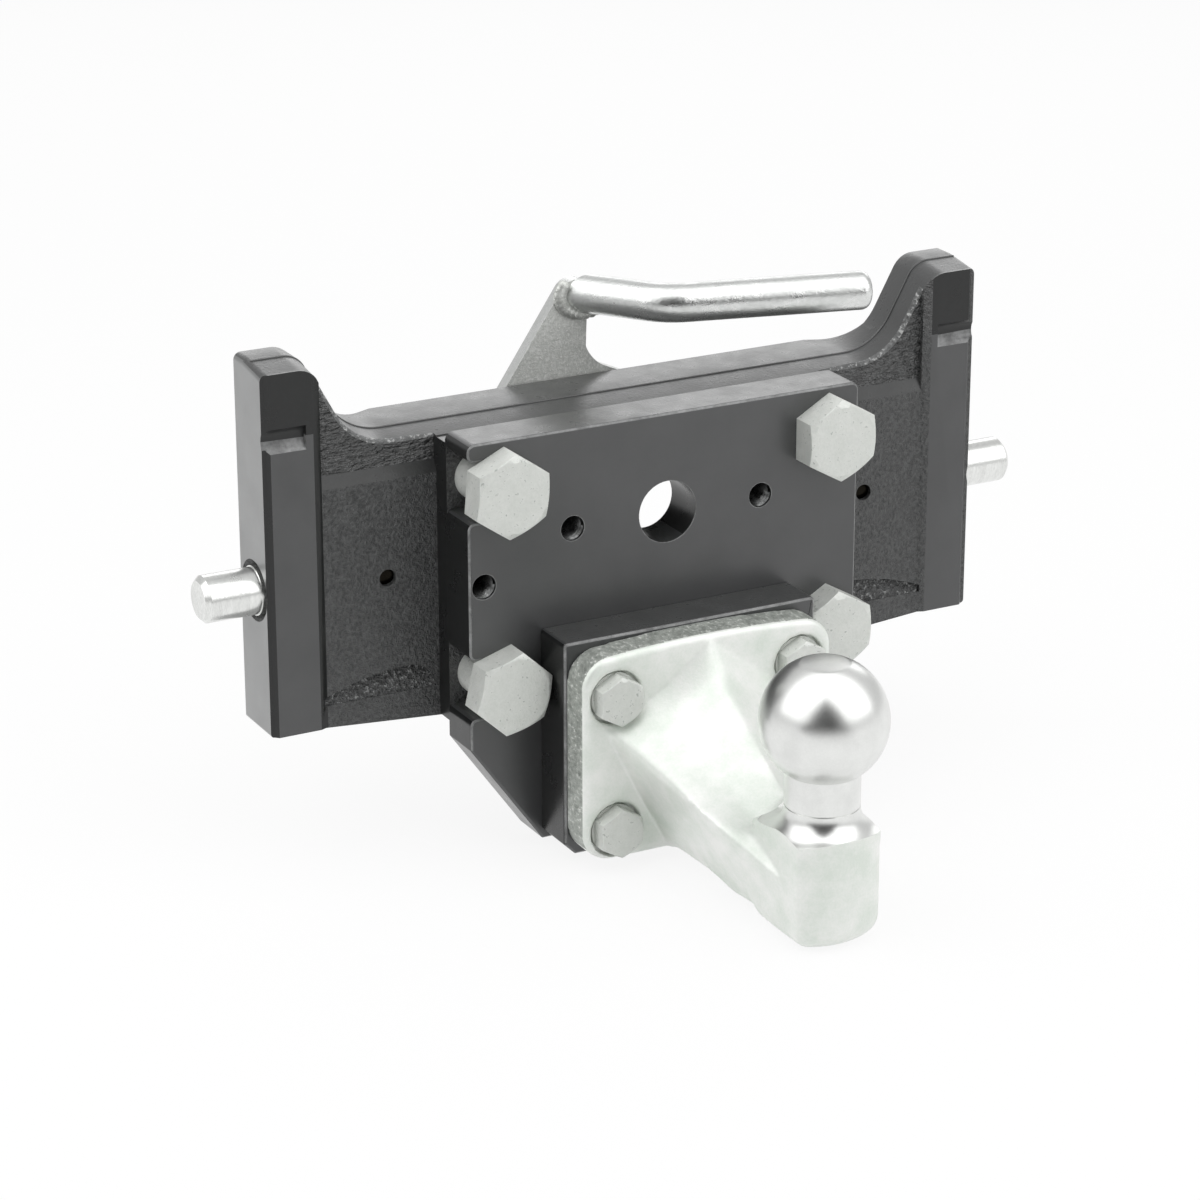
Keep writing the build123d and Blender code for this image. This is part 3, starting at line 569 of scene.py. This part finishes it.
def joined(name, pieces):
    """Several pieces as one object."""
    bpy.ops.object.select_all(action="DESELECT")
    for piece in pieces:
        piece.select_set(True)
    bpy.context.view_layer.objects.active = pieces[0]
    bpy.ops.object.join()
    pieces[0].name = name
    return pieces[0]


def paint_faces(piece, index, belongs):
    """Gives a material slot to the faces whose centre, in millimetres, and normal pass a test."""
    for face in piece.data.polygons:
        if belongs(face.center / MM, face.normal):
            face.material_index = index


def dress(piece, body, nodes, makers):
    """Gives a finished piece its materials, the body it rides on and the CAD nodes it stands for."""
    piece.data.materials.clear()
    for maker in makers:
        piece.data.materials.append(finish(maker))
    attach(piece, body)
    if nodes:
        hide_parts(*nodes)
    return piece


FINISHES = {}


class HITCH_OT_carrier(bpy.types.Operator):
    """Finishes the slide carrier: sand-cast panels, smooth top, machined rails, scoops and worn edges, with
    painted shade on its darkest faces, a painted highlight in its grooves and a painted sheen on its rails'
    sides
    """
    bl_idname = "hitch.carrier"
    bl_label = "Slide carrier"

    def execute(self, context):
        sizes = context.scene.hitch_sizes
        low, high = (Vector(corner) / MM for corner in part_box("slide_carrier"))
        inner = high.x - RAIL_WIDTH
        piece = copy_of("slide_carrier", "carrier_casting")
        dress(piece, "carrier", ["slide_carrier"], (
            cast_paint, rippled_paint, scoop_skin, beam_paint, plate_paint, side_paint_and_sheen, worn_edge_and_highlight,
            chipped_edge, painted_shade_black))
        rippled, scoop, smooth, plate, side, worn, chipped, shaded = range(1, 9)
        pick_edges(piece, lambda p: (
            abs(p.y - UPPER_PANEL_Y) < 0.1 and p.z > BAND_TOP_Z + 3 and PAD_HALF - 0.1 < abs(p.x) < inner))
        bpy.ops.mesh.bevel(offset=sizes.chipped_edge, segments=3, affect="EDGES", material=chipped)
        bpy.ops.mesh.select_all(action="SELECT")
        bpy.ops.mesh.bisect(plane_co=(0, 0, GROOVE_TOP_Z * MM), plane_no=(0, 0, 1))
        bpy.ops.mesh.select_all(action="SELECT")
        bpy.ops.mesh.bisect(plane_co=((DARK_STRIP - high.x) * MM, 0, 0), plane_no=(1, 0, 0))
        bpy.ops.object.mode_set(mode="OBJECT")
        round_edges(piece, sizes.cast_edge)
        kept = {face.index for face in piece.data.polygons if face.material_index == chipped}
        # The slot of nearly black paint is painted shade: it darkens the rail fronts above the grooves, the
        # left rail's inner side, the strip along its outer edge, the pad's sides and the grooves' upper
        # halves
        rules = (
            (rippled, lambda c, n: n.y < -0.5 and c.y < 34 and c.z > BAND_TOP_Z
             and PAD_HALF < abs(c.x) < inner),
            (smooth, lambda c, n: n.y < -0.5 and n.z > 0.15 and PAD_HALF < abs(c.x) < inner
             and BAND_FOOT_Z - 0.5 < c.z < BAND_TOP_Z + 0.3),
            (scoop, lambda c, n: PANEL_Y + 0.4 < c.y < SCOOP_BACK_Y and n.y < -0.2
             and SCOOP_FOOT_Z < c.z < SCOOP_TOP_Z and SCOOP_INNER_X < abs(c.x) < SCOOP_OUTER_X),
            (smooth, lambda c, n: c.z > CASTING_TOP_Z and n.z > 0.25),
            (plate, lambda c, n: abs(c.x) > inner - 0.5 and n.y < -0.5 and c.y < PANEL_Y),
            (shaded, lambda c, n: abs(c.x) > inner - 0.5 and n.y < -0.5 and c.y < PANEL_Y
             and c.z > GROOVE_TOP_Z),
            (shaded, lambda c, n: -inner < c.x < 4 - inner and c.y < UPPER_PANEL_Y and abs(n.x) > 0.2),
            (rippled, lambda c, n: inner - 4 < c.x < inner and c.y < UPPER_PANEL_Y and abs(n.x) > 0.2
             and c.z > BAND_TOP_Z),
            (shaded, lambda c, n: c.x < DARK_STRIP - high.x and n.y < -0.2 and abs(n.z) < 0.5
             and c.y < PANEL_Y + 1),
            (shaded, lambda c, n: abs(c.x) < PAD_HALF + 0.5 and c.y < PANEL_Y + 0.5 and abs(n.x) > 0.5),
            # The rails' outer sides take the light grey of rubbed paint with a painted sheen.
            (side, lambda c, n: abs(c.x) > high.x - 1 and abs(n.x) > 0.8),
            (worn, lambda c, n: abs(abs(c.x) - inner) < 0.9 and c.y < PANEL_Y - 1
             and 0.1 < abs(n.x) < 0.35),
            # The grooves' upper halves: painted shade.
            (shaded, lambda c, n: abs(c.x) > inner + 2 and RAIL_FACE_Y + 0.2 < c.y < GROOVE_BACK_Y
             and GROOVE_MIDDLE_Z < c.z < GROOVE_SHADE_Z),
            # The grooves' lower halves take the rubbed grey: a painted highlight.
            (worn, lambda c, n: abs(c.x) > inner + 2 and RAIL_FACE_Y + 0.2 < c.y < GROOVE_BACK_Y
             and GROOVE_FOOT_Z < c.z < GROOVE_MIDDLE_Z))
        for index, rule in rules:
            paint_faces(piece, index, rule)
        for at in kept:
            piece.data.polygons[at].material_index = chipped
        self.parting_line(piece, sizes.parting_line)
        return {"FINISHED"}

    def parting_line(self, casting, height):
        """A fine bead along the casting's top, where the two halves of its mould met."""
        line = casting.copy()
        line.data = casting.data.copy()
        line.data.materials.clear()
        line.name = "parting_line"
        bpy.context.scene.collection.objects.link(line)
        only(line)
        bpy.ops.object.mode_set(mode="EDIT")
        bpy.ops.mesh.select_mode(type="VERT")
        bpy.ops.mesh.select_all(action="SELECT")
        bpy.ops.mesh.bisect(plane_co=(0, PARTING_Y * MM, 0), plane_no=(0, 1, 0))
        bpy.ops.mesh.select_all(action="INVERT")
        bpy.ops.mesh.delete(type="VERT")
        bpy.ops.object.mode_set(mode="OBJECT")
        for point in line.data.vertices:
            x, z = abs(point.co.x) / MM, point.co.z / MM
            point.select = z < PARTING_LOW_Z or x > PARTING_END_X
        only(line)
        bpy.ops.object.mode_set(mode="EDIT")
        bpy.ops.mesh.delete(type="VERT")
        bpy.ops.object.mode_set(mode="OBJECT")
        bpy.ops.object.convert(target="CURVE")
        line.data.bevel_depth = height
        line.data.bevel_resolution = 2
        line.data.use_fill_caps = True
        bpy.ops.object.convert(target="MESH")
        bpy.ops.object.shade_smooth()
        dress(line, "carrier", [], (beam_paint,))


class HITCH_OT_plates(bpy.types.Operator):
    """Finishes the adapter plate and the spacer: machined, painted, rubbed grey along their edges, darkened
    on their sides with painted shade
    """
    bl_idname = "hitch.plates"
    bl_label = "Adapter plate and spacer"

    def execute(self, context):
        sizes = context.scene.hitch_sizes
        for node, slot in (("adapter_plate", "plate_paint"), ("spacer_block", "block_paint")):
            piece = copy_of(node, node + "_finished")
            round_edges(piece, sizes.machined_edge)
            dress(piece, "carrier", [node], (plate_paint, worn_edge_and_highlight, beam_paint, painted_shade_black))
            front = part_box(node)[0][1] / MM
            # The plates' left and right sides take the nearly black paint: painted shade.
            paint_faces(piece, 3, lambda c, n: abs(n.x) > 0.6)
            paint_faces(piece, 1, lambda c, n: c.y < front + 0.8 and -0.95 < n.y < -0.2
                        and c.z > PLATE_WORN_FOOT_Z)
            paint_faces(piece, 2, lambda c, n: n.z > 0.95)
        self.threads(sizes)
        return {"FINISHED"}

    def threads(self, sizes):
        """Threads in the adapter plate's tapped holes: one wound ridge, copied to each hole."""
        low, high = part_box("adapter_plate")
        turns = int((high[1] - low[1]) / sizes.thread_pitch) - 1
        foot = (TAPPED_RADIUS + THREAD_SINK) * MM
        rise = sizes.thread_depth + THREAD_SINK * MM
        width = 2 * THREAD_HALF_SHARE * sizes.thread_pitch
        bpy.ops.object.select_all(action="DESELECT")
        bpy.ops.mesh.primitive_circle_add(
            vertices=3, radius=1, fill_type="NOTHING", location=(foot - rise / 3, 0, 0),
            rotation=(pi / 2, -pi / 2, 0))
        ridge = bpy.context.active_object
        ridge.scale = (width / sqrt(3), rise / 1.5, 1)
        bpy.ops.object.transform_apply(location=True, rotation=True, scale=True)
        apply(ridge, "SCREW", axis="Z", angle=2 * pi, screw_offset=sizes.thread_pitch,
              iterations=turns, steps=THREAD_STEPS, render_steps=THREAD_STEPS)
        bpy.ops.object.mode_set(mode="EDIT")
        bpy.ops.mesh.select_all(action="SELECT")
        bpy.ops.mesh.fill_holes(sides=3)
        bpy.ops.mesh.normals_make_consistent(inside=False)
        bpy.ops.object.mode_set(mode="OBJECT")
        for count, (x, z) in enumerate(TAPPED_HOLES):
            thread = ridge.copy()
            thread.data = ridge.data.copy()
            thread.name = f"tapped_thread_{count + 1}"
            bpy.context.scene.collection.objects.link(thread)
            thread.rotation_euler = (-pi / 2, 0, 0)
            thread.location = (x * MM, low[1] + sizes.thread_pitch, z * MM)
            only(thread)
            bpy.ops.object.transform_apply(location=True, rotation=True, scale=True)
            bpy.ops.object.shade_smooth_by_angle(angle=radians(SMOOTH_ANGLE))
            dress(thread, "carrier", [], (thread_steel,))
        bpy.data.objects.remove(ridge)


class HITCH_OT_flange(bpy.types.Operator):
    """Models the ball flange's forging with soft edges and blends, then machines its head and spotfaces"""
    bl_idname = "hitch.flange"
    bl_label = "Ball flange forging"

    def execute(self, context):
        sizes = context.scene.hitch_sizes
        piece = copy_of("ball_flange", "forging")
        carve(piece, round_bar("above", BALL_RADIUS + 0.3, (0, BALL_AXIS_Y, HEAD_TOP + 0.01),
                               (0, BALL_AXIS_Y, 0), "Z"))
        carve(piece, self.head_block(), "UNION")
        apply(piece, "REMESH", mode="VOXEL", voxel_size=sizes.forging_grid)
        apply(piece, "SMOOTH", factor=0.5, iterations=4)
        self.soften_root(piece)
        dress(piece, "carrier", ["ball_flange"], (forged_zinc, sheared_zinc))
        paint_faces(piece, 1, lambda c, n: (
            FLANGE_FRONT_Y + 2.2 < c.y < FLANGE_BACK_Y - 0.4 and abs(n.y) < 0.5
            and (abs(c.x) > SHEARED_SIDE_X or c.z > SHEARED_TOP_Z or c.z < SHEARED_FOOT_Z)))
        carve(piece, self.turning_tool())
        low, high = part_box("flange_washers")
        reach = WASHER_RADIUS * MM
        for x in (low[0] + reach, high[0] - reach):
            for z in (low[2] + reach, high[2] - reach):
                carve(piece, round_bar(
                    "spotface", SPOTFACE_RADIUS, (x / MM, FLANGE_FRONT_Y - SPOTFACE_REACH, z / MM),
                    (x / MM, SPOTFACE_FLOOR_Y, z / MM), "Y"))
        only(piece)
        bpy.ops.object.shade_smooth_by_angle(angle=radians(SMOOTH_ANGLE))
        return {"FINISHED"}

    def head_block(self):
        """The head's plan as a block that stands above it, for the flare to be turned from."""
        block = round_bar("head_block", NECK_RADIUS + FLARE_RADIUS - 0.1, (0, BALL_AXIS_Y, HEAD_TOP - 5),
                          (0, BALL_AXIS_Y, HEAD_TOP + FLARE_RADIUS + 1.5), "Z")
        sagitta = HEAD_NOSE_FORWARD - HEAD_CORNER_FORWARD
        nose_radius = (HEAD_HALF_WIDTH ** 2 + sagitta ** 2) / (2 * sagitta)
        nose_y = BALL_AXIS_Y - HEAD_NOSE_FORWARD + nose_radius
        nose = round_bar("nose", nose_radius, (0, nose_y, HEAD_TOP - 15), (0, nose_y, HEAD_TOP + 15), "Z")
        carve(block, nose, "INTERSECT")
        bpy.ops.object.select_all(action="DESELECT")
        bpy.ops.mesh.primitive_cube_add(size=1, location=(0, BALL_AXIS_Y * MM, HEAD_TOP * MM), scale=(
            2 * HEAD_HALF_WIDTH * MM, 60 * MM, 40 * MM))
        sides = bpy.context.active_object
        bpy.ops.object.transform_apply(location=True, rotation=True, scale=True)
        carve(block, sides, "INTERSECT")
        return block

    def soften_root(self, piece):
        """Widens the blend where the arm grows out of the flange, most of all at the root itself."""
        root = piece.vertex_groups.new(name="root")
        for point in piece.data.vertices:
            x, y = abs(point.co.x) / MM, point.co.y / MM
            at_root = min(
                (FLANGE_FRONT_Y - 0.5 - y) / 3, (y - ROOT_END_Y) / 16, (ROOT_HALF_WIDTH - x) / 4, 1)
            at_head = min(1 - abs(y - NECK_JOIN_Y) / NECK_JOIN_REACH, (HEAD_TOP - 2 - point.co.z / MM) / 4)
            share = max(at_root, NECK_JOIN_SHARE * at_head)
            if share > 0:
                root.add([point.index], share, "REPLACE")
        apply(piece, "SMOOTH", factor=0.5, iterations=ROOT_PASSES, vertex_group="root")
        piece.vertex_groups.clear()

    def turning_tool(self):
        """What the lathe takes off above the head: everything over the flare's hollow curve."""
        outer = NECK_RADIUS + FLARE_RADIUS
        steps = 24
        arc = [(outer - FLARE_RADIUS * cos(pi / 2 * at / steps),
                HEAD_TOP + FLARE_RADIUS * (1 - sin(pi / 2 * at / steps))) for at in range(steps + 1)]
        profile = [(0, HEAD_TOP + FLARE_RADIUS)] + arc + [(outer + 0.8, HEAD_TOP), (outer + 0.8, 0), (0, 0)]
        tool = turned("turning_tool", profile, (0, BALL_AXIS_Y, 0))
        tool.data.materials.append(finish(turned_metal))
        return tool


class HITCH_OT_ball(bpy.types.Operator):
    """Turns the ball and its neck as one bright piece"""
    bl_idname = "hitch.ball"
    bl_label = "Ball and neck"

    def execute(self, context):
        flat_z = sqrt(BALL_RADIUS ** 2 - BALL_FLAT_RADIUS ** 2)
        neck_z = -sqrt(BALL_RADIUS ** 2 - NECK_RADIUS ** 2)
        foot = HEAD_TOP + FLARE_RADIUS - BALL_Z
        top = atan2(flat_z, BALL_FLAT_RADIUS)
        bottom = atan2(neck_z, NECK_RADIUS)
        angles = [top + (bottom - top) * at / BALL_ARC_STEPS for at in range(BALL_ARC_STEPS + 1)]
        sphere = [(BALL_RADIUS * cos(angle), BALL_RADIUS * sin(angle)) for angle in angles]
        profile = [(0, flat_z), (BALL_FLAT_RADIUS - 0.5, flat_z)]
        profile += sphere[1:] + [(NECK_RADIUS, foot + 0.5), (NECK_RADIUS - 0.3, foot + 0.2),
                                 (NECK_RADIUS - 0.3, foot - 1), (0, foot - 1)]
        piece = turned("ball", profile, (0, BALL_AXIS_Y, BALL_Z), BALL_SPIN_STEPS)
        only(piece)
        bpy.ops.object.shade_smooth_by_angle(angle=radians(25))
        dress(piece, "carrier", ["ball_flange"], (turned_metal,))
        return {"FINISHED"}


class HITCH_OT_bolts(bpy.types.Operator):
    """Finishes the bolts and washers"""
    bl_idname = "hitch.bolts"
    bl_label = "Bolts and washers"

    def execute(self, context):
        edge = context.scene.hitch_sizes.fastener_edge
        for node in ("carrier_bolts", "flange_bolts", "flange_washers"):
            piece = copy_of(node, node + "_finished")
            round_edges(piece, edge)
            dress(piece, "carrier", [node], (bolt_zinc,))
        return {"FINISHED"}


class HITCH_OT_handle(bpy.types.Operator):
    """Finishes the cam plate and its bar"""
    bl_idname = "hitch.handle"
    bl_label = "Handle"

    def execute(self, context):
        sizes = context.scene.hitch_sizes
        plate = copy_of("cam_plate", "cam_plate_finished")
        round_edges(plate, sizes.machined_edge)
        dress(plate, "handle", ["cam_plate"], (sheet_zinc, bar_zinc))
        paint_faces(plate, 1, lambda c, n: abs(n.y) < 0.4)
        bar = copy_of("handle_bar", "handle_bar_finished")
        round_edges(bar, sizes.fastener_edge)
        dress(bar, "handle", ["handle_bar"], (bar_zinc,))
        return {"FINISHED"}


class HITCH_OT_weld(bpy.types.Operator):
    """Lays the weld round the bar's foot, ripple by ripple"""
    bl_idname = "hitch.weld"
    bl_label = "Weld"

    def execute(self, context):
        step = context.scene.hitch_sizes.weld_ripple
        low, high = (Vector(corner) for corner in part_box("handle_weld"))
        bar_low, bar_high = (Vector(corner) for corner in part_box("handle_bar"))
        middle_z = (bar_low.z + bar_high.z) / 2
        face_y = high.y
        half_wide = (high.x - low.x) / 2
        half_high = middle_z - low.z
        middle_x = (low.x + high.x) / 2
        count = int(2 * pi * sqrt((half_wide ** 2 + half_high ** 2) / 2) / step)
        beads = []
        for at in range(count):
            turn = 2 * pi * at / count
            left = max(0, -cos(turn))
            radius = WELD_BEAD_RADIUS * MM + WELD_LEFT_EXTRA * MM * left
            x = middle_x + (half_wide - radius) * cos(turn)
            z = middle_z + (half_high - radius) * sin(turn)
            if z > high.z - radius / 2:
                continue
            bpy.ops.object.select_all(action="DESELECT")
            bpy.ops.mesh.primitive_ico_sphere_add(
                subdivisions=3, radius=radius, location=(x, face_y - WELD_SINK * MM, z))
            bead = bpy.context.active_object
            bead.scale = (1.15, 0.85, 1.15)
            bpy.ops.object.transform_apply(location=True, rotation=True, scale=True)
            beads.append(bead)
        weld = joined("weld_bead", beads)
        apply(weld, "REMESH", mode="VOXEL", voxel_size=WELD_GRID * MM)
        apply(weld, "SMOOTH", factor=0.5, iterations=3)
        only(weld)
        bpy.ops.object.mode_set(mode="EDIT")
        bpy.ops.mesh.select_all(action="SELECT")
        bpy.ops.mesh.bisect(plane_co=(0, face_y, 0), plane_no=(0, 1, 0), use_fill=True, clear_outer=True)
        bpy.ops.object.mode_set(mode="OBJECT")
        bpy.ops.object.shade_smooth_by_angle(angle=radians(SMOOTH_ANGLE))
        dress(weld, "handle", ["handle_weld"], (weld_zinc,))
        return {"FINISHED"}


class HITCH_OT_pivot(bpy.types.Operator):
    """Finishes the pivot bolt, its washer and the bush"""
    bl_idname = "hitch.pivot"
    bl_label = "Pivot"

    def execute(self, context):
        edge = context.scene.hitch_sizes.fastener_edge
        for node, body, slot, maker in (
                ("pivot_bolt", "carrier", "bolt_zinc", bolt_zinc),
                ("pivot_washer", "carrier", "bolt_zinc", bolt_zinc),
                ("pivot_bush", "handle", "bush_bronze", bush_bronze)):
            piece = copy_of(node, node + "_finished")
            round_edges(piece, edge)
            dress(piece, body, [node], (maker,))
        return {"FINISHED"}


class HITCH_OT_pins(bpy.types.Operator):
    """Finishes the locking pins with their followers, rollers and clips"""
    bl_idname = "hitch.pins"
    bl_label = "Locking pins and followers"

    def execute(self, context):
        edge = context.scene.hitch_sizes.fastener_edge
        for side in ("left", "right"):
            for node, slot, maker in (
                    ("locking_pin", "pin_zinc", pin_zinc), ("follower_stud", "roller_steel", roller_steel),
                    ("follower_roller", "roller_steel", roller_steel),
                    ("follower_clip", "spring_steel", spring_steel)):
                piece = copy_of(f"{node}_{side}", f"{node}_{side}_finished")
                round_edges(piece, edge)
                dress(piece, side + "_pin", [f"{node}_{side}"], (maker,))
        return {"FINISHED"}


class HITCH_OT_springs(bpy.types.Operator):
    """Finishes the pins' springs and the plugs behind them"""
    bl_idname = "hitch.springs"
    bl_label = "Springs and plugs"

    def execute(self, context):
        edge = context.scene.hitch_sizes.fastener_edge
        for side in ("left", "right"):
            spring = copy_of(f"pin_spring_{side}", f"pin_spring_{side}_finished")
            only(spring)
            bpy.ops.object.shade_smooth()
            dress(spring, "carrier", [f"pin_spring_{side}"], (spring_steel,))
            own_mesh(spring)
            plug = copy_of(f"spring_plug_{side}", f"spring_plug_{side}_finished")
            round_edges(plug, edge)
            dress(plug, "carrier", [f"spring_plug_{side}"], (roller_steel,))
        return {"FINISHED"}


class HITCH_OT_stage(bpy.types.Operator):
    """Adds the floor, the lamps and the camera"""
    bl_idname = "hitch.stage"
    bl_label = "Stage"

    def execute(self, context):
        scene = context.scene
        low, high = cad_bounds
        bpy.ops.object.select_all(action="DESELECT")
        bpy.ops.mesh.primitive_plane_add(size=40, location=(0, 0, low[2] - 0.5 * MM))
        floor = context.active_object
        floor.name = "floor"
        floor.data.materials.append(self.paper(scene.hitch_colours.floor))

        world = bpy.data.worlds.new("Studio")
        scene.world = world
        world.use_nodes = True
        world.node_tree.nodes.clear()
        path = add_node(world, "ShaderNodeLightPath")
        shiny = add_node(world, "ShaderNodeMath", {"operation": "MULTIPLY_ADD"}, {
            0: path.outputs["Is Glossy Ray"], 1: WORLD_SHINY - WORLD_LIGHT, 2: WORLD_LIGHT})
        strength = add_node(world, "ShaderNodeMath", {"operation": "MULTIPLY_ADD"}, {
            0: path.outputs["Is Camera Ray"], 1: 1 - WORLD_LIGHT, 2: shiny.outputs[0]})
        back = add_node(world, "ShaderNodeBackground", None, {
            "Color": (1, 1, 1, 1), "Strength": strength.outputs[0]})
        add_node(world, "ShaderNodeOutputWorld", None, {"Surface": back.outputs[0]})

        # Each softbox: its bearing from the camera's line, its height, distance, width, height and power
        for name, bearing, lift, far, wide, tall, power in (
                ("left softbox", -58, 42, 1.5, 1.8, 1.6, 9.8),
                ("right softbox", 64, 40, 1.5, 1.8, 1.6, 9.8),
                ("top softbox", 0, 84, 1.4, 1.6, 1.2, 6.5),
                ("back softbox", 178, 22, 1.8, 2.2, 0.7, 5.3)):
            self.softbox(name, bearing - CAMERA_YAW, lift, far, wide, tall, power)
        self.flag()

        lens = bpy.data.cameras.new("camera")
        lens.sensor_width = SENSOR_WIDTH
        lens.lens = FOCAL_PIXELS * SENSOR_WIDTH / PHOTO_PIXELS
        camera = bpy.data.objects.new("camera", lens)
        aim = Matrix.Rotation(-radians(CAMERA_YAW), 4, "Z") @ Matrix.Rotation(
            radians(90 - CAMERA_PITCH), 4, "X") @ Matrix.Rotation(radians(CAMERA_ROLL), 4, "Z")
        camera.matrix_world = Matrix.Translation(CAMERA_PLACE) @ aim
        scene.collection.objects.link(camera)
        scene.camera = camera
        scene.view_settings.view_transform = "Standard"
        return {"FINISHED"}

    def paper(self, tone):
        """White paper: the camera and shiny metal see it mostly plain white, the rest takes shadows."""
        material = bpy.data.materials.new("White paper")
        material.use_nodes = True
        material.node_tree.nodes.clear()
        lit = add_node(material, "ShaderNodeBsdfDiffuse", None, {"Color": (*tone, 1)})
        plain = add_node(material, "ShaderNodeEmission", None, {"Color": (1, 1, 1, 1), "Strength": 1.0})
        path = add_node(material, "ShaderNodeLightPath")
        shiny = add_node(material, "ShaderNodeMath", {"operation": "MULTIPLY"}, {
            0: path.outputs["Is Glossy Ray"], 1: FLOOR_PLAIN_SHINY})
        share = add_node(material, "ShaderNodeMath", {"operation": "MULTIPLY_ADD"}, {
            0: path.outputs["Is Camera Ray"], 1: FLOOR_PLAIN, 2: shiny.outputs[0]})
        mixed = add_node(material, "ShaderNodeMixShader", None, {
            0: share.outputs[0], 1: lit.outputs[0], 2: plain.outputs[0]})
        add_node(material, "ShaderNodeOutputMaterial", None, {"Surface": mixed.outputs[0]})
        return material

    def flag(self):
        """A black flag behind the camera: shiny metal shows it as the dark gap between the softboxes."""
        around = radians(-CAMERA_YAW)
        bpy.ops.object.select_all(action="DESELECT")
        bpy.ops.mesh.primitive_circle_add(
            vertices=3, radius=FLAG_RADIUS, fill_type="NGON",
            location=(sin(around) * FLAG_DISTANCE, -cos(around) * FLAG_DISTANCE, FLAG_RADIUS / 2 - 0.2),
            rotation=(pi / 2, 0, around))
        card = bpy.context.active_object
        card.name = "flag"
        material = bpy.data.materials.new("Black cloth")
        material.use_nodes = True
        material.node_tree.nodes.clear()
        cloth = add_node(material, "ShaderNodeBsdfDiffuse", None, {"Color": (0.01, 0.01, 0.01, 1)})
        add_node(material, "ShaderNodeOutputMaterial", None, {"Surface": cloth.outputs[0]})
        card.data.materials.append(material)
        card.visible_camera = False

    def softbox(self, name, bearing, lift, far, wide, tall, power):
        """A lamp at a bearing clockwise from the front and an angle above the floor, facing the hitch."""
        aim = Vector((0, -30 * MM, -20 * MM))
        around, up = radians(bearing), radians(lift)
        place = aim + far * Vector((sin(around) * cos(up), -cos(around) * cos(up), sin(up)))
        light = bpy.data.lights.new(name, "AREA")
        light.shape = "RECTANGLE"
        light.size = wide
        light.size_y = tall
        light.energy = power
        lamp = bpy.data.objects.new(name, light)
        lamp.location = place
        lamp.rotation_euler = (aim - place).to_track_quat("-Z", "Y").to_euler()
        lamp.visible_camera = False
        bpy.context.scene.collection.objects.link(lamp)


class HITCH_PT_panel(bpy.types.Panel):
    """Lists the hitch's pieces in the order in which they are built"""
    bl_label = "Hitch"
    bl_idname = "HITCH_PT_panel"
    bl_space_type = "VIEW_3D"
    bl_region_type = "UI"
    bl_category = "Hitch"

    def draw(self, context):
        for group in (context.scene.hitch_sizes, context.scene.hitch_colours):
            for name in group.__annotations__:
                self.layout.prop(group, name)
        for operator in OPERATORS:
            self.layout.operator(operator.bl_idname)


OPERATORS = (
    HITCH_OT_carrier, HITCH_OT_plates, HITCH_OT_flange, HITCH_OT_ball, HITCH_OT_bolts, HITCH_OT_handle,
    HITCH_OT_weld, HITCH_OT_pivot, HITCH_OT_pins, HITCH_OT_springs, HITCH_OT_stage)
CLASSES = (HitchColours, HitchSizes, *OPERATORS, HITCH_PT_panel)


def register():
    for kind in CLASSES:
        bpy.utils.register_class(kind)
    bpy.types.Scene.hitch_colours = bpy.props.PointerProperty(type=HitchColours)
    bpy.types.Scene.hitch_sizes = bpy.props.PointerProperty(type=HitchSizes)


def unregister():
    del bpy.types.Scene.hitch_sizes
    del bpy.types.Scene.hitch_colours
    for kind in reversed(CLASSES):
        bpy.utils.unregister_class(kind)


def main():
    """Builds the whole hitch."""
    register()
    for operator in OPERATORS:
        group, name = operator.bl_idname.split(".")
        getattr(getattr(bpy.ops, group), name)()


if __name__ == "__main__":
    main()
